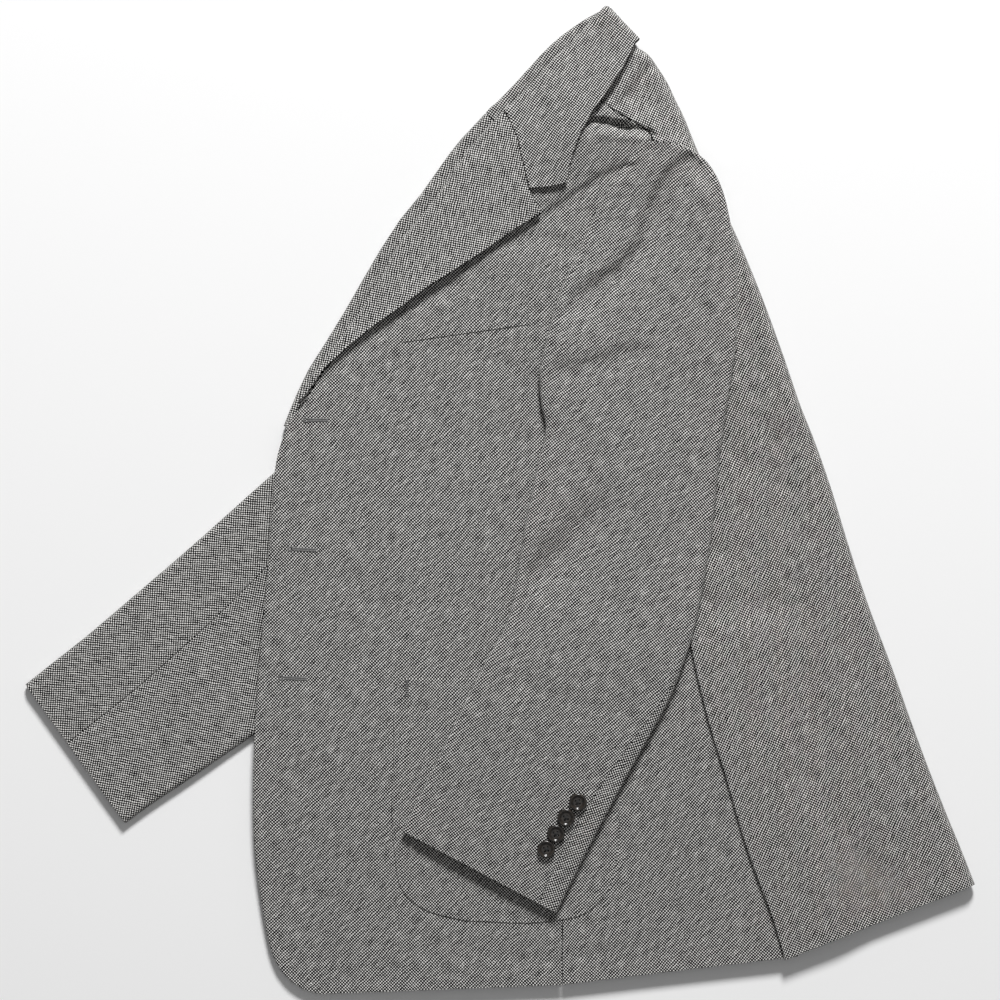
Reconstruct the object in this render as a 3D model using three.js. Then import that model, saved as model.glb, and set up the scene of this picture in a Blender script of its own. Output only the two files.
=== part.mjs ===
// Sport coat, folded in half along the centre back and laid flat with its left side up.
// Units are millimetres. X runs from the front edge to the centre back fold, Y up to the collar, Z up.
import * as THREE from 'three';

// Driving dimensions
const wall = 1.8;              // one ply of cloth with its canvas pressed on
const seamGap = 0.4;           // clear space between two pieces at a seam
const layGap = 0.5;            // clear space between two pieces lying on each other
const looseGap = 0.3;          // more of it where a piece lies loose over a seam
const coreGap = 0.9;           // clear space round the hidden inner layers
const rightSleeveHeight = 6;   // flattened right sleeve where the coat lies on it
const foldRadius = 8;          // plan radius of the centre back fold
const rollRadius = 4.5;        // plan radius of the lapel and collar roll
const collarFoldRadius = 6;    // plan radius of the collar's own fold at the centre back
const sleeveEdge = 5;          // plan radius of a flattened sleeve's two edges
const shoulderRise = 6;        // how far the shoulder stands over the back's neck hollow
const shoulderRun = 80;        // how far down from its ridge the shoulder's rise runs out
const hollowWidth = 32;        // width of the hollow behind the collar
const collarBridge = 75;       // width over which the collar bridges that hollow
const deepest = 2.6;           // the most that crossing folds press into the cloth together
const besideSleeve = 50;       // how far beside the right sleeve the coat still hangs over it
const sleeveRamp = 38;         // length of the slope there
const besideLeaf = 50;         // the same beside the right lapel and collar
const leafRamp = 30;
const lapelSpring = 3;         // how far the left lapel's edge springs up from the front
const collarSpring = 1.5;      // how far the left collar's edge springs up
const rollLeg = 13;            // how far the left facing and stand reach back under the roll
const rightRollLeg = 34;       // how far the right ones reach in over their panel
const ventLap = 30;            // how far the side panel runs on under the back at the vent
const ventRun = 45;            // how far the vent's lift takes to run out
const crownDrop = 0.12;        // share by which the sleeve is lower at its two edges
const buttonDiameter = 15;
const buttonHeight = 3.2;

const cloth = { color: 0x73726f, roughness: 0.95, metalness: 0 };
const horn = { color: 0x17120e, roughness: 0.25, metalness: 0 };

const coat = new THREE.Group();

// Small helpers for curves and tables
const mix = (a, b, t) => a + (b - a) * t;
const clamp01 = (t) => Math.min(1, Math.max(0, t));
const smooth = (t) => clamp01(t) ** 2 * (3 - 2 * clamp01(t));
const radians = (degrees) => degrees * Math.PI / 180;

function column(rows, key, at, value) {
  // Straight-line reading of one column of a table whose rows rise in the key column
  const last = rows.length - 1;
  if (at <= rows[0][key]) return rows[0][value];
  if (at >= rows[last][key]) return rows[last][value];
  const i = rows.findIndex((row) => row[key] > at) - 1;
  const t = (at - rows[i][key]) / (rows[i + 1][key] - rows[i][key]);
  return mix(rows[i][value], rows[i + 1][value], t);
}

function smoothColumn(rows, key, at, value) {
  // As above, with no kink at a row
  const last = rows.length - 1;
  if (at <= rows[0][key]) return rows[0][value];
  if (at >= rows[last][key]) return rows[last][value];
  const i = rows.findIndex((row) => row[key] > at) - 1;
  const slope = (k) => {
    const [low, high] = [rows[Math.max(0, k - 1)], rows[Math.min(last, k + 1)]];
    return (high[value] - low[value]) / (high[key] - low[key]);
  };
  const span = rows[i + 1][key] - rows[i][key];
  const t = (at - rows[i][key]) / span;
  const ease = t * t * (3 - 2 * t);
  const lean = t * (1 - t) * span * ((1 - t) * slope(i) - t * slope(i + 1));
  return mix(rows[i][value], rows[i + 1][value], ease) + lean;
}

function tableOf(columns, rows) {
  return rows.map((row) => Object.fromEntries(columns.map((name, i) => [name, row[i]])));
}

function rowAt(rows, share) {
  // Row at a share from the first to the last, smooth through the rows between
  const place = share * (rows.length - 1);
  const i = Math.min(rows.length - 2, Math.floor(place));
  const t = place - i;
  const before = rows[Math.max(0, i - 1)];
  const after = rows[Math.min(rows.length - 1, i + 2)];
  const found = {};
  for (const name of Object.keys(rows[i])) {
    const [a, b, c, d] = [before[name], rows[i][name], rows[i + 1][name], after[name]];
    found[name] = b + 0.5 * t * (c - a + t * (2 * a - 5 * b + 4 * c - d + t * (3 * (b - c) + d - a)));
  }
  return found;
}

function straightRowAt(rows, share) {
  const place = share * (rows.length - 1);
  const i = Math.min(rows.length - 2, Math.floor(place));
  const found = {};
  for (const name of Object.keys(rows[i])) found[name] = mix(rows[i][name], rows[i + 1][name], place - i);
  return found;
}

function addPiece(name, geometry, finish) {
  const mesh = new THREE.Mesh(geometry, new THREE.MeshStandardMaterial(finish));
  mesh.name = name;
  coat.add(mesh);
  return mesh;
}

function closedWall(outer, inner) {
  // One closed body between two matched grids of points, outer face and inner face
  const rows = outer.length;
  const columns = outer[0].length;
  const points = [...outer.flat(), ...inner.flat()];
  const id = (side, i, j) => side * rows * columns + i * columns + j;
  const faces = [];
  const quad = (a, b, c, d) => faces.push(a, b, c, a, c, d);
  for (let i = 0; i < rows - 1; i += 1) {
    for (let j = 0; j < columns - 1; j += 1) {
      quad(id(0, i, j), id(0, i, j + 1), id(0, i + 1, j + 1), id(0, i + 1, j));
      quad(id(1, i, j), id(1, i + 1, j), id(1, i + 1, j + 1), id(1, i, j + 1));
    }
  }
  for (let i = 0; i < rows - 1; i += 1) {
    quad(id(0, i, 0), id(0, i + 1, 0), id(1, i + 1, 0), id(1, i, 0));
    quad(id(0, i + 1, columns - 1), id(0, i, columns - 1), id(1, i, columns - 1), id(1, i + 1, columns - 1));
  }
  for (let j = 0; j < columns - 1; j += 1) {
    quad(id(0, 0, j + 1), id(0, 0, j), id(1, 0, j), id(1, 0, j + 1));
    quad(id(0, rows - 1, j), id(0, rows - 1, j + 1), id(1, rows - 1, j + 1), id(1, rows - 1, j));
  }
  let volume = 0;
  for (let k = 0; k < faces.length; k += 3) {
    const [a, b, c] = [points[faces[k]], points[faces[k + 1]], points[faces[k + 2]]];
    volume += a.dot(new THREE.Vector3().crossVectors(b, c));
  }
  if (volume < 0) faces.reverse();
  const geometry = new THREE.BufferGeometry();
  geometry.setAttribute('position', new THREE.Float32BufferAttribute(points.flatMap((p) => p.toArray()), 3));
  geometry.setIndex(faces);
  geometry.computeVertexNormals();
  return geometry;
}

// Height of the folded coat across its length: a row for each level, with the front edge or
// roll line, the centre back fold, and the top's height at the edge, the middle and the fold
const levels = tableOf(['y', 'front', 'fold', 'edge', 'middle', 'back'], [
  [-430, -205, 440, 6.2, 8.5, 9.5],
  [-330, -203, 402, 8, 11, 11],
  [-240, -207, 366, 11.5, 14.5, 12],
  [-120, -200, 320, 12.2, 16, 13],
  [0, -191, 281, 13, 16.5, 14],
  [80, -172, 252, 13.8, 17, 15],
  [160, -115, 222, 13.4, 18, 16],
  [240, -65, 190, 13.2, 20, 18],
  [300, -21, 165, 13.4, 21, 19],
  [350, 26, 143, 14, 20, 19],
  [430, 95, 98, 15, 18, 18],
]);

// Large soft folds in the cloth, as troughs from one end to the other with depth and half width
const bodyFolds = tableOf(['x1', 'y1', 'x2', 'y2', 'depth', 'width'], [
  [-5, 222, 62, 240, 1.6, 16],
  [-60, 20, -52, -120, 0.8, 14],
  [236, 50, 236, -40, 1.3, 18],
  [224, -88, 214, 30, 0.9, 14],
  [306, -120, 332, -232, 1.2, 18],
  [182, -40, 196, 54, 1.2, 14],
]);
const sleeveFolds = tableOf(['x1', 'y1', 'x2', 'y2', 'depth', 'width'], [
  [160, 282, 122, 218, 1.8, 15],
  [122, 218, 72, 166, 2.4, 15],
  [40, 106, 106, 122, 1.2, 14],
  [20, -48, 74, -8, 2.2, 20],
  [24, -46, 96, -92, 2.0, 18],
]);

function foldDepth(folds, x, y) {
  let depth = 0;
  for (const fold of folds) {
    const dx = fold.x2 - fold.x1;
    const dy = fold.y2 - fold.y1;
    const t = ((x - fold.x1) * dx + (y - fold.y1) * dy) / (dx * dx + dy * dy);
    const nearest = clamp01(t);
    const away = Math.hypot(x - fold.x1 - dx * nearest, y - fold.y1 - dy * nearest);
    depth += fold.depth * Math.exp(-((away / fold.width) ** 2));
  }
  return deepest * (1 - Math.exp(-depth / deepest));
}

// The top rises over the first of these shares of the width and falls to the fold from the second
const riseShare = 0.45;
const fallShare = 0.5;

function bodyTop(x, y) {
  const front = smoothColumn(levels, 'y', y, 'front');
  const fold = smoothColumn(levels, 'y', y, 'fold');
  const across = clamp01((x - front) / (fold - front));
  const edge = smoothColumn(levels, 'y', y, 'edge');
  const middle = smoothColumn(levels, 'y', y, 'middle');
  const back = smoothColumn(levels, 'y', y, 'back');
  const rise = Math.sin(radians(90 * Math.min(1, across / riseShare)));
  const fall = smooth((across - fallShare) / (1 - fallShare));
  return edge + (middle - edge) * rise + (back - middle) * fall - foldDepth(bodyFolds, x, y);
}

// The padded shoulder stands over the hollow behind the collar, along this ridge
const ridge = tableOf(['x', 'y'], [[60, 312], [124, 306], [150, 299], [170, 290], [186, 268]]);
const shoulderStart = 20;
const shoulderWidth = 60;
const neckRun = 50;

function shoulder(x, y, fade) {
  const below = column(ridge, 'x', x, 'y') - y;
  const inFromFold = smoothColumn(levels, 'y', y, 'fold') - x;
  const fromFront = smooth((x - shoulderStart) / shoulderWidth);
  const fromFold = smooth((inFromFold + neckRun / 4) / neckRun);
  return shoulderRise * (1 - smooth(below / shoulderRun)) * smooth(1 + below / fade) * fromFront * fromFold;
}

const frontTop = (x, y) => bodyTop(x, y) + shoulder(x, y, hollowWidth);
const underCollar = (x, y) => bodyTop(x, y) + shoulder(x, y, collarBridge);
const foldMiddle = (y) => 0.5 * smoothColumn(levels, 'y', y, 'back');

// The right sleeve under the coat: a row for each section from cuff to shoulder, with its upper
// edge, its lower edge and its height
const rightSleeveRows = tableOf(['hx', 'hy', 'fx', 'fy', 'height'], [
  [-399, -155, -315, -272, 7.4],
  [-375, -136, -293, -256, 7.4],
  [-346, -113, -260, -234, 7.2],
  [-306, -79, -228, -212, 6.8],
  [-255, -35, -190, -186, 6],
  [-190, 23, -146, -155, 6],
  [-137, 68, -84, -111, 6],
  [-84, 113, -24, -69, 6],
  [-20, 167, 40, -30, 6],
  [40, 219, 96, 6, 6],
  [84, 256, 140, 36, 6],
  [116, 276, 166, 90, 6],
  [140, 286, 174, 150, 6],
  [154, 286, 176, 210, 6],
]);
const sleeveHeadEnd = 178;
const underarmX = 160;
const acrossSleeve = 0.78;     // turns a distance along Y into one across the slanting sleeve

function rightSleeveLift(x, y) {
  const upper = column(rightSleeveRows, 'hx', x, 'hy');
  const lower = column(rightSleeveRows, 'fx', Math.min(x, underarmX), 'fy');
  const inside = Math.min(acrossSleeve * (upper - y), acrossSleeve * (y - lower), sleeveHeadEnd - x);
  return (rightSleeveHeight + layGap) * smooth((inside + besideSleeve) / sleeveRamp);
}

// Outer edge of the right lapel and collar leaf, which lie folded back on the floor
const rightLeafEdge = tableOf(['y', 'x'], [
  [62, -182], [98, -158], [121, -141], [139, -122], [154, -102], [173, -78], [203, -33], [230, 14],
  [265, 46], [300, 56], [320, 65], [340, 77], [367, 100], [388, 119], [420, 119],
]);
const leafBottom = 15;         // where the right lapel starts to lift the front, and over what run
const leafBottomRun = 35;

function rightLeafLift(x, y) {
  const edge = column(rightLeafEdge, 'y', y, 'x');
  const beside = smooth((edge + besideLeaf - x) / leafRamp);
  return (wall + layGap) * beside * smooth((y - leafBottom) / leafBottomRun);
}

const bed = (x, y) => Math.max(rightSleeveLift(x, y), rightLeafLift(x, y));

const foldAngles = [60, 30, 0];

function panel(rows, across, along, face, inward, foldSide) {
  // A cut panel between its left and right edges, with one face at a given height.
  // Where foldSide is set, its right edge turns down or up round the centre back fold.
  const outer = [];
  const inner = [];
  for (let i = 0; i <= along; i += 1) {
    const row = rowAt(rows, i / along);
    const length = Math.hypot(row.rx - row.lx, row.ry - row.ly);
    const reach = foldSide ? (length - foldRadius) / length : 1;
    const outerRow = [];
    const innerRow = [];
    for (let j = 0; j <= across; j += 1) {
      const u = reach * j / across;
      const x = mix(row.lx, row.rx, u);
      const y = mix(row.ly, row.ry, u);
      const z = face(x, y);
      outerRow.push(new THREE.Vector3(x, y, z));
      innerRow.push(new THREE.Vector3(x, y, z + inward));
    }
    if (foldSide) {
      const base = outerRow[across].clone();
      const centre = foldMiddle(base.y) + foldSide * seamGap / 2;
      const reachOut = Math.abs(base.z - centre);
      for (const angle of foldAngles) {
        for (const [line, height] of [[outerRow, base.z], [innerRow, base.z + inward]]) {
          const arm = Math.abs(height - centre) / reachOut * foldRadius * Math.cos(radians(angle));
          const x = base.x + arm * (row.rx - row.lx) / length;
          const y = base.y + arm * (row.ry - row.ly) / length;
          line.push(new THREE.Vector3(x, y, centre + (height - centre) * Math.sin(radians(angle))));
        }
      }
    }
    outer.push(outerRow);
    inner.push(innerRow);
  }
  return closedWall(outer, inner);
}

// Left front, from the rounded corner at the hem up to the shoulder seam. Its left edge is the
// front edge, then the roll line, and its right edge the side seam, then the armhole
const panelColumns = ['lx', 'ly', 'rx', 'ry'];
const leftFrontRows = tableOf(panelColumns, [
  [-151, -415, 52, -407],
  [-166, -410.5, 52, -402],
  [-181, -399, 52, -391],
  [-192, -379, 52, -371],
  [-200, -340, 53, -335],
  [-206, -290, 54, -290],
  [-207, -235, 57, -230],
  [-205, -180, 60, -170],
  [-200, -115, 64, -110],
  [-195, -60, 70, -55],
  [-191, -5, 76, 5],
  [-188, 30, 77, 42],
  [-182, 52, 72, 72],
  [-174, 70, 66, 94],
  [-164, 80, 62, 110],
  [-154, 98, 58, 130],
  [-140, 118, 52, 154],
  [-123, 141, 54, 172],
  [-105, 167, 64, 200],
  [-89, 193, 77, 228],
  [-75, 219, 90, 253],
  [-56, 242, 108, 281],
  [-37, 266, 124, 300],
  [-18, 292, 123.8, 307.2],
  [-4, 311, 111.3, 315.2],
  [11, 324, 96.4, 324.2],
  [28, 334, 84.3, 333.2],
]);
addPiece('left_front', panel(leftFrontRows, 10, 36, frontTop, -wall, 0), cloth);

// Left side panel, whose back edge runs on under the back panel below the top of the vent
const ventTop = -123;
const sideRows = tableOf(panelColumns, [
  [52.4, -407, 238.6, -385],
  [52.4, -371, 228.6, -352],
  [53.4, -335, 216.6, -320],
  [54.4, -290, 203.6, -283],
  [57.4, -235, 189.6, -235],
  [60.2, -178, 173.6, -183],
  [64.2, -118, 159.6, -123],
  [69.4, -66, 153.6, -75],
  [75, -15, 151, -25],
  [78, 20, 151, 20],
]);
const ventHem = tableOf(['rx', 'ry'], [[250, -383.2], [256, -352]]);
const leftSideRows = sideRows.map((row, i) => {
  const lap = row.ry < ventTop ? ventLap : 0;
  return { ...row, rx: row.rx + lap, ...ventHem[i] };
});
addPiece('left_side', panel(leftSideRows, 6, 14, bodyTop, -wall, 0), cloth);

// Left back, from the vent to the centre back fold and up to the neck under the collar
const leftBackRows = tableOf(panelColumns, [
  [239, -386, 399, -323],
  [229, -352, 388, -295],
  [217, -320, 376, -266],
  [204, -283, 361, -228],
  [190, -235, 345, -185],
  [174, -183, 329, -140],
  [160, -123, 310, -90],
  [154, -75, 294, -42],
  [152, -25, 278, 10],
  [152, 20, 264, 50],
  [158, 60, 252, 80],
  [165, 105, 238, 121],
  [166, 150, 222, 165],
  [160, 195, 205, 207],
  [152, 235, 190, 240],
  [142, 268, 177, 268],
  [131, 292, 167, 290],
  [125, 308, 160, 307],
  [112, 316, 154, 322],
  [97, 325, 147, 336],
  [85, 334, 141, 349],
  [85, 350, 133, 362],
  [88, 364, 124, 374],
  [90, 376, 113, 381],
  [88, 386, 104, 389],
]);
const ventEdge = tableOf(['y', 'x'], leftBackRows.slice(0, 7).map((row) => [row.ly, row.lx]));

function ventLift(x, y) {
  const inside = x - column(ventEdge, 'y', y, 'x');
  const along = smooth((ventTop + ventRun - y) / ventRun);
  return (wall + layGap + looseGap) * (1 - smooth((inside - 1.5 * ventLap) / ventRun)) * along;
}

const backTop = (x, y) => frontTop(x, y) + ventLift(x, y);
addPiece('left_back', panel(leftBackRows, 7, 30, backTop, -wall, 1), cloth);

// Right half, lying under the left with its outer side down
const rightFrontRows = tableOf(panelColumns, [
  [-150, -413, 52, -406],
  [-180, -397, 52, -389],
  [-191, -378, 52, -371],
  [-198, -340, 53, -335],
  [-204, -290, 54, -290],
  [-205, -235, 57, -230],
  [-203, -180, 60, -170],
  [-199, -115, 64, -110],
  [-194, -60, 70, -55],
  [-191, -5, 76, 5],
  [-189, 25, 77, 42],
  [-181, 50, 72, 72],
  [-171, 78, 64, 102],
  [-157, 104, 58, 130],
  [-140, 134, 52, 156],
  [-120, 168, 58, 185],
  [-99, 205, 72, 218],
  [-76, 236, 88, 250],
  [-52, 268, 106, 280],
  [-26, 301, 120.5, 306],
  [0, 322, 102, 318.5],
  [26, 334, 83.8, 332],
]);
addPiece('right_front', panel(rightFrontRows, 8, 26, bed, wall, 0), cloth);
addPiece('right_side', panel(sideRows, 5, 12, bed, wall, 0), cloth);
addPiece('right_back', panel(leftBackRows, 5, 22, bed, wall, -1), cloth);

// Hidden canvas, shoulder pads, linings and hems between the two halves, as one rounded piece
const coreRows = tableOf(panelColumns, [
  [-148, -388, 366, -300],
  [-170, -345, 350, -262],
  [-174, -280, 330, -215],
  [-172, -200, 308, -160],
  [-166, -120, 286, -100],
  [-158, -40, 262, -30],
  [-148, 30, 238, 35],
  [-108, 92, 216, 100],
  [-74, 145, 198, 150],
  [-44, 195, 182, 200],
  [-10, 240, 166, 245],
  [20, 280, 152, 280],
  [50, 310, 136, 312],
  [76, 338, 116, 345],
]);

const coreReach = 14;          // the layers keep clear of the lowest cloth within this reach

function foldedInside(across, along) {
  const top = [];
  const bottom = [];
  for (let i = 0; i <= along; i += 1) {
    const row = rowAt(coreRows, i / along);
    const topRow = [];
    const bottomRow = [];
    for (let j = 0; j <= across; j += 1) {
      const x = mix(row.lx, row.rx, j / across);
      const y = mix(row.ly, row.ry, j / across);
      const near = [[0, 0], [coreReach, 0], [-coreReach, 0], [0, coreReach], [0, -coreReach]];
      const floor = Math.max(...near.map(([dx, dy]) => bed(x + dx, y + dy))) + wall + coreGap;
      const roof = Math.min(...near.map(([dx, dy]) => frontTop(x + dx, y + dy))) - wall - coreGap;
      const rim = Math.min(j, across - j, i, along - i) === 0;
      const middle = (floor + roof) / 2;
      const half = Math.max(0.4, (roof - floor) / 2) * (rim ? 0.5 : 1);
      topRow.push(new THREE.Vector3(x, y, middle + half));
      bottomRow.push(new THREE.Vector3(x, y, middle - half));
    }
    top.push(topRow);
    bottom.push(bottomRow);
  }
  return closedWall(top, bottom);
}
addPiece('folded_inside', foldedInside(12, 20), cloth);

const rollAngles = [55, 20, -20, -55];
const tangentStep = 0.04;

function foldOver(rows, along, spec) {
  // Cloth turned over a roll line: an upper leg, the roll, and a lower leg, each as long as told.
  // A row gives the roll point (rx, ry) and the free edge of the leaf (ex, ey)
  const outer = [];
  const inner = [];
  for (let i = 0; i <= along; i += 1) {
    const share = i / along;
    const row = straightRowAt(rows, share);
    const before = straightRowAt(rows, Math.max(0, share - tangentStep));
    const after = straightRowAt(rows, Math.min(1, share + tangentStep));
    const tangent = new THREE.Vector2(after.rx - before.rx, after.ry - before.ry).normalize();
    const normal = new THREE.Vector2(tangent.y, -tangent.x);
    const leaf = new THREE.Vector2(row.ex - row.rx, row.ey - row.ry);
    const width = leaf.length();
    leaf.normalize();
    const leg = Math.min(spec.leg, Math.max(rollRadius + 1, width + 4));
    const upward = spec.leafOnTop ? leaf : normal;
    const downward = spec.leafOnTop ? normal : leaf;
    const upperEnd = spec.leafOnTop ? width : leg;
    const lowerEnd = spec.leafOnTop ? leg : width;
    const outerRow = [];
    const innerRow = [];
    const place = (way, distance) => [row.rx + way.x * distance, row.ry + way.y * distance];
    for (let j = spec.upperSteps; j >= 0; j -= 1) {
      const distance = mix(rollRadius, Math.max(rollRadius + 0.5, upperEnd), j / spec.upperSteps);
      const [x, y] = place(upward, distance);
      const z = spec.top(x, y, distance / upperEnd, share);
      outerRow.push(new THREE.Vector3(x, y, z));
      innerRow.push(new THREE.Vector3(x, y, z - wall));
    }
    const [upperX, upperY] = place(upward, rollRadius);
    const [lowerX, lowerY] = place(downward, rollRadius);
    const upperZ = spec.top(upperX, upperY, 0, share);
    const lowerZ = spec.bottom(lowerX, lowerY);
    const middle = (upperZ + lowerZ) / 2;
    const half = (upperZ - lowerZ) / 2;
    for (const angle of rollAngles) {
      const blend = (1 - Math.sin(radians(angle))) / 2;
      const direction = new THREE.Vector2().lerpVectors(upward, downward, blend).normalize();
      for (const [line, inset] of [[outerRow, 0], [innerRow, wall]]) {
        const distance = rollRadius - (rollRadius - inset) * Math.cos(radians(angle));
        const [x, y] = place(direction, distance);
        line.push(new THREE.Vector3(x, y, middle + (half - inset) * Math.sin(radians(angle))));
      }
    }
    for (let j = 0; j <= spec.lowerSteps; j += 1) {
      const distance = mix(rollRadius, Math.max(rollRadius + 0.5, lowerEnd), j / spec.lowerSteps);
      const [x, y] = place(downward, distance);
      const z = spec.bottom(x, y);
      outerRow.push(new THREE.Vector3(x, y, z));
      innerRow.push(new THREE.Vector3(x, y, z + wall));
    }
    outer.push(outerRow);
    inner.push(innerRow);
  }
  if (spec.foldSide) turnRoundFold(outer, inner, spec.foldSide);
  return closedWall(outer, inner);
}

const collarFoldWay = 41;      // direction the collar's fold faces, in degrees from X

function turnRoundFold(outer, inner, side) {
  // Carries the last row of a collar leaf round the centre back fold to the middle of its height
  const last = outer.length - 1;
  const outward = new THREE.Vector2(Math.cos(radians(collarFoldWay)), Math.sin(radians(collarFoldWay)));
  const base = outer[last].map((p) => p.clone());
  const baseInner = inner[last].map((p) => p.clone());
  const centre = foldMiddle(base[0].y) + side * seamGap / 2;
  const reach = Math.max(...base.map((p) => Math.abs(p.z - centre)));
  for (const angle of [60, 30, 2]) {
    const turned = (p) => {
      const height = p.z - centre;
      const arm = collarFoldRadius * Math.abs(height) / reach * Math.cos(radians(angle));
      const z = centre + height * Math.sin(radians(angle));
      return new THREE.Vector3(p.x + outward.x * arm, p.y + outward.y * arm, z);
    };
    outer.push(base.map(turned));
    inner.push(baseInner.map(turned));
  }
}

// Lapel: the facing rolled over the left front, a row for each section from the break up to the
// point, round the notch and along the gorge seam
const rollColumns = ['rx', 'ry', 'ex', 'ey'];
const lapelRows = tableOf(rollColumns, [
  [-170, 82, -163, 88],
  [-160, 101, -146, 112],
  [-146, 119, -126, 130],
  [-131, 139, -106, 146],
  [-113, 165, -84, 161],
  [-97, 192, -60, 179],
  [-82, 220, -37, 193],
  [-62, 243, -11, 210],
  [-44, 267, 13, 227],
  [-33, 285, 35, 240],
  [-25, 296, 29, 250],
  [-18, 304, 24, 260],
  [-10, 313, 20.2, 277],
  [-2, 321, 13.9, 304],
  [3.1, 326.7, 7.7, 318.4],
]);
// Collar: from the gorge round the collar point and along the outer edge to the centre back
const collarRows = tableOf(rollColumns, [
  [3.6, 327.3, 8.2, 318.6],
  [7, 330.8, 14.5, 304.2],
  [12, 335.5, 20.8, 277.2],
  [16, 339, 24.8, 260.5],
  [21, 344, 41, 261.5],
  [26, 349.5, 56, 265],
  [33, 357, 58, 278],
  [40, 365, 61, 290],
  [48, 372.5, 68, 308],
  [56, 380, 78, 326],
  [64, 388, 89, 341],
  [72, 396, 101, 359],
  [79, 404, 109, 374],
  [86, 412, 113, 383],
]);

const gorgeShare = 0.8;        // share of the lapel's length below its gorge
const lapelSwell = (share) => Math.sin(radians(180 * clamp01(share / gorgeShare)));
const lapelLift = (reach, share) => lapelSpring * lapelSwell(share) * reach ** 2;
const collarLift = (reach, share) => collarSpring * reach * smooth(share / (1 - gorgeShare));
addPiece('left_facing', foldOver(lapelRows, 21, {
  leafOnTop: true,
  leg: rollLeg,
  upperSteps: 4,
  lowerSteps: 1,
  top: (x, y, reach, share) => frontTop(x, y) + layGap + wall + lapelLift(reach, share),
  bottom: (x, y) => frontTop(x, y) - wall - layGap - wall,
}), cloth);
addPiece('left_collar', foldOver(collarRows, 19, {
  leafOnTop: true,
  leg: rollLeg,
  upperSteps: 4,
  lowerSteps: 1,
  foldSide: 1,
  top: (x, y, reach, share) => underCollar(x, y) + layGap + wall + collarLift(reach, share),
  bottom: (x, y) => frontTop(x, y) - wall - layGap - wall,
}), cloth);

// The right lapel and collar are rolled the other way, onto the floor, a little further out
const rightRoll = [
  [-182, 62], [-172, 87], [-161, 110], [-147, 132], [-131, 158], [-115, 186], [-101, 210], [-84, 236],
  [-66, 258], [-54, 275], [-42, 292], [-32, 304.4], [-24.5, 312.2], [-17, 320.3], [-12.5, 325.2],
];
const rightCollarRoll = [
  [-12, 325.8], [-8, 330.3], [-2.5, 334.7], [2, 339.4], [8, 345.4], [14.5, 352.4], [25, 364], [34, 374],
  [44, 384], [53, 391.5], [62, 398], [71, 404], [79, 408.5], [86, 412],
];

function mirroredRows(rows, roll) {
  return rows.map((row, i) => {
    const [rx, ry] = roll[i];
    return { rx, ry, ex: rx + row.ex - row.rx, ey: ry + row.ey - row.ry };
  });
}

const rightLeg = {
  leafOnTop: false,
  leg: rightRollLeg,
  upperSteps: 3,
  lowerSteps: 3,
  top: (x, y) => bed(x, y) + wall + layGap + looseGap + wall,
  bottom: () => 0,
};
addPiece('right_facing', foldOver(mirroredRows(lapelRows, rightRoll), 18, rightLeg), cloth);
const rightCollarLeg = { ...rightLeg, foldSide: -1 };
addPiece('right_collar', foldOver(mirroredRows(collarRows, rightCollarRoll), 16, rightCollarLeg), cloth);

// Patch pocket and breast welt, made from the front's own surface, moved out
const pocketRows = tableOf(panelColumns, [
  [-29, -353, 24, -355],
  [-51, -348, 52, -352],
  [-68, -341, 73, -346],
  [-83, -326, 90, -329],
  [-88, -302, 97, -304],
  [-91, -261, 100, -277],
  [-89, -208, 101, -235],
  [-89, -180, 101, -190],
  [-86, -150, 101, -149],
]);
const onPanel = (x, y) => frontTop(x, y) + layGap + wall;
addPiece('left_patch_pocket', panel(pocketRows, 7, 12, onPanel, -wall, 0), cloth);
const weltRows = tableOf(panelColumns, [[-82, 132, 25, 147], [-82, 158, 25, 179]]);
addPiece('breast_welt', panel(weltRows, 7, 2, onPanel, -wall, 0), cloth);

function flatSleeve(rows, along, samplesOf, surfaces) {
  // A flattened sleeve in sections across it. Distance round a section starts at the bottom end of
  // the hind edge's curve, and rises up over that edge, over the top, round the front edge and under
  const outer = [];
  const inner = [];
  for (let i = 0; i <= along; i += 1) {
    const share = i / along;
    const row = rowAt(rows, share);
    const width = Math.hypot(row.fx - row.hx, row.fy - row.hy);
    const curveLength = 0.5 * Math.PI * (sleeveEdge + row.height / 2);
    const flat = width - 2 * sleeveEdge;
    const at = (distance) => {
      const s = width ? distance / width : 0;
      return [mix(row.hx, row.fx, s), mix(row.hy, row.fy, s)];
    };
    const point = (q, inset) => {
      if (q < 0 || q > 2 * curveLength + flat) {
        const s = q < 0 ? sleeveEdge - q : width - sleeveEdge - (q - 2 * curveLength - flat);
        const [x, y] = at(s);
        return new THREE.Vector3(x, y, surfaces.bottom(x, y, row) + inset);
      }
      if (q > curveLength && q < curveLength + flat) {
        const [x, y] = at(sleeveEdge + q - curveLength);
        return new THREE.Vector3(x, y, surfaces.top(x, y, row, (q - curveLength) / flat) - inset);
      }
      const hind = q <= curveLength;
      const turn = hind ? q / curveLength : (2 * curveLength + flat - q) / curveLength;
      const angle = radians(180 * turn - 90);
      const [bx, by] = at(hind ? sleeveEdge : width - sleeveEdge);
      const high = surfaces.top(bx, by, row, hind ? 0 : 1);
      const low = surfaces.bottom(bx, by, row);
      const arm = (sleeveEdge - inset) * Math.cos(angle);
      const [x, y] = at(hind ? sleeveEdge - arm : width - sleeveEdge + arm);
      return new THREE.Vector3(x, y, (high + low) / 2 + ((high - low) / 2 - inset) * Math.sin(angle));
    };
    const samples = samplesOf(row, curveLength, flat);
    outer.push(samples.map((q) => point(q, 0)));
    inner.push(samples.map((q) => point(q, wall)));
  }
  return closedWall(outer, inner);
}

function spread(from, to, steps) {
  return Array.from({ length: steps }, (_, k) => mix(from, to, (k + 1) / steps));
}

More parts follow.
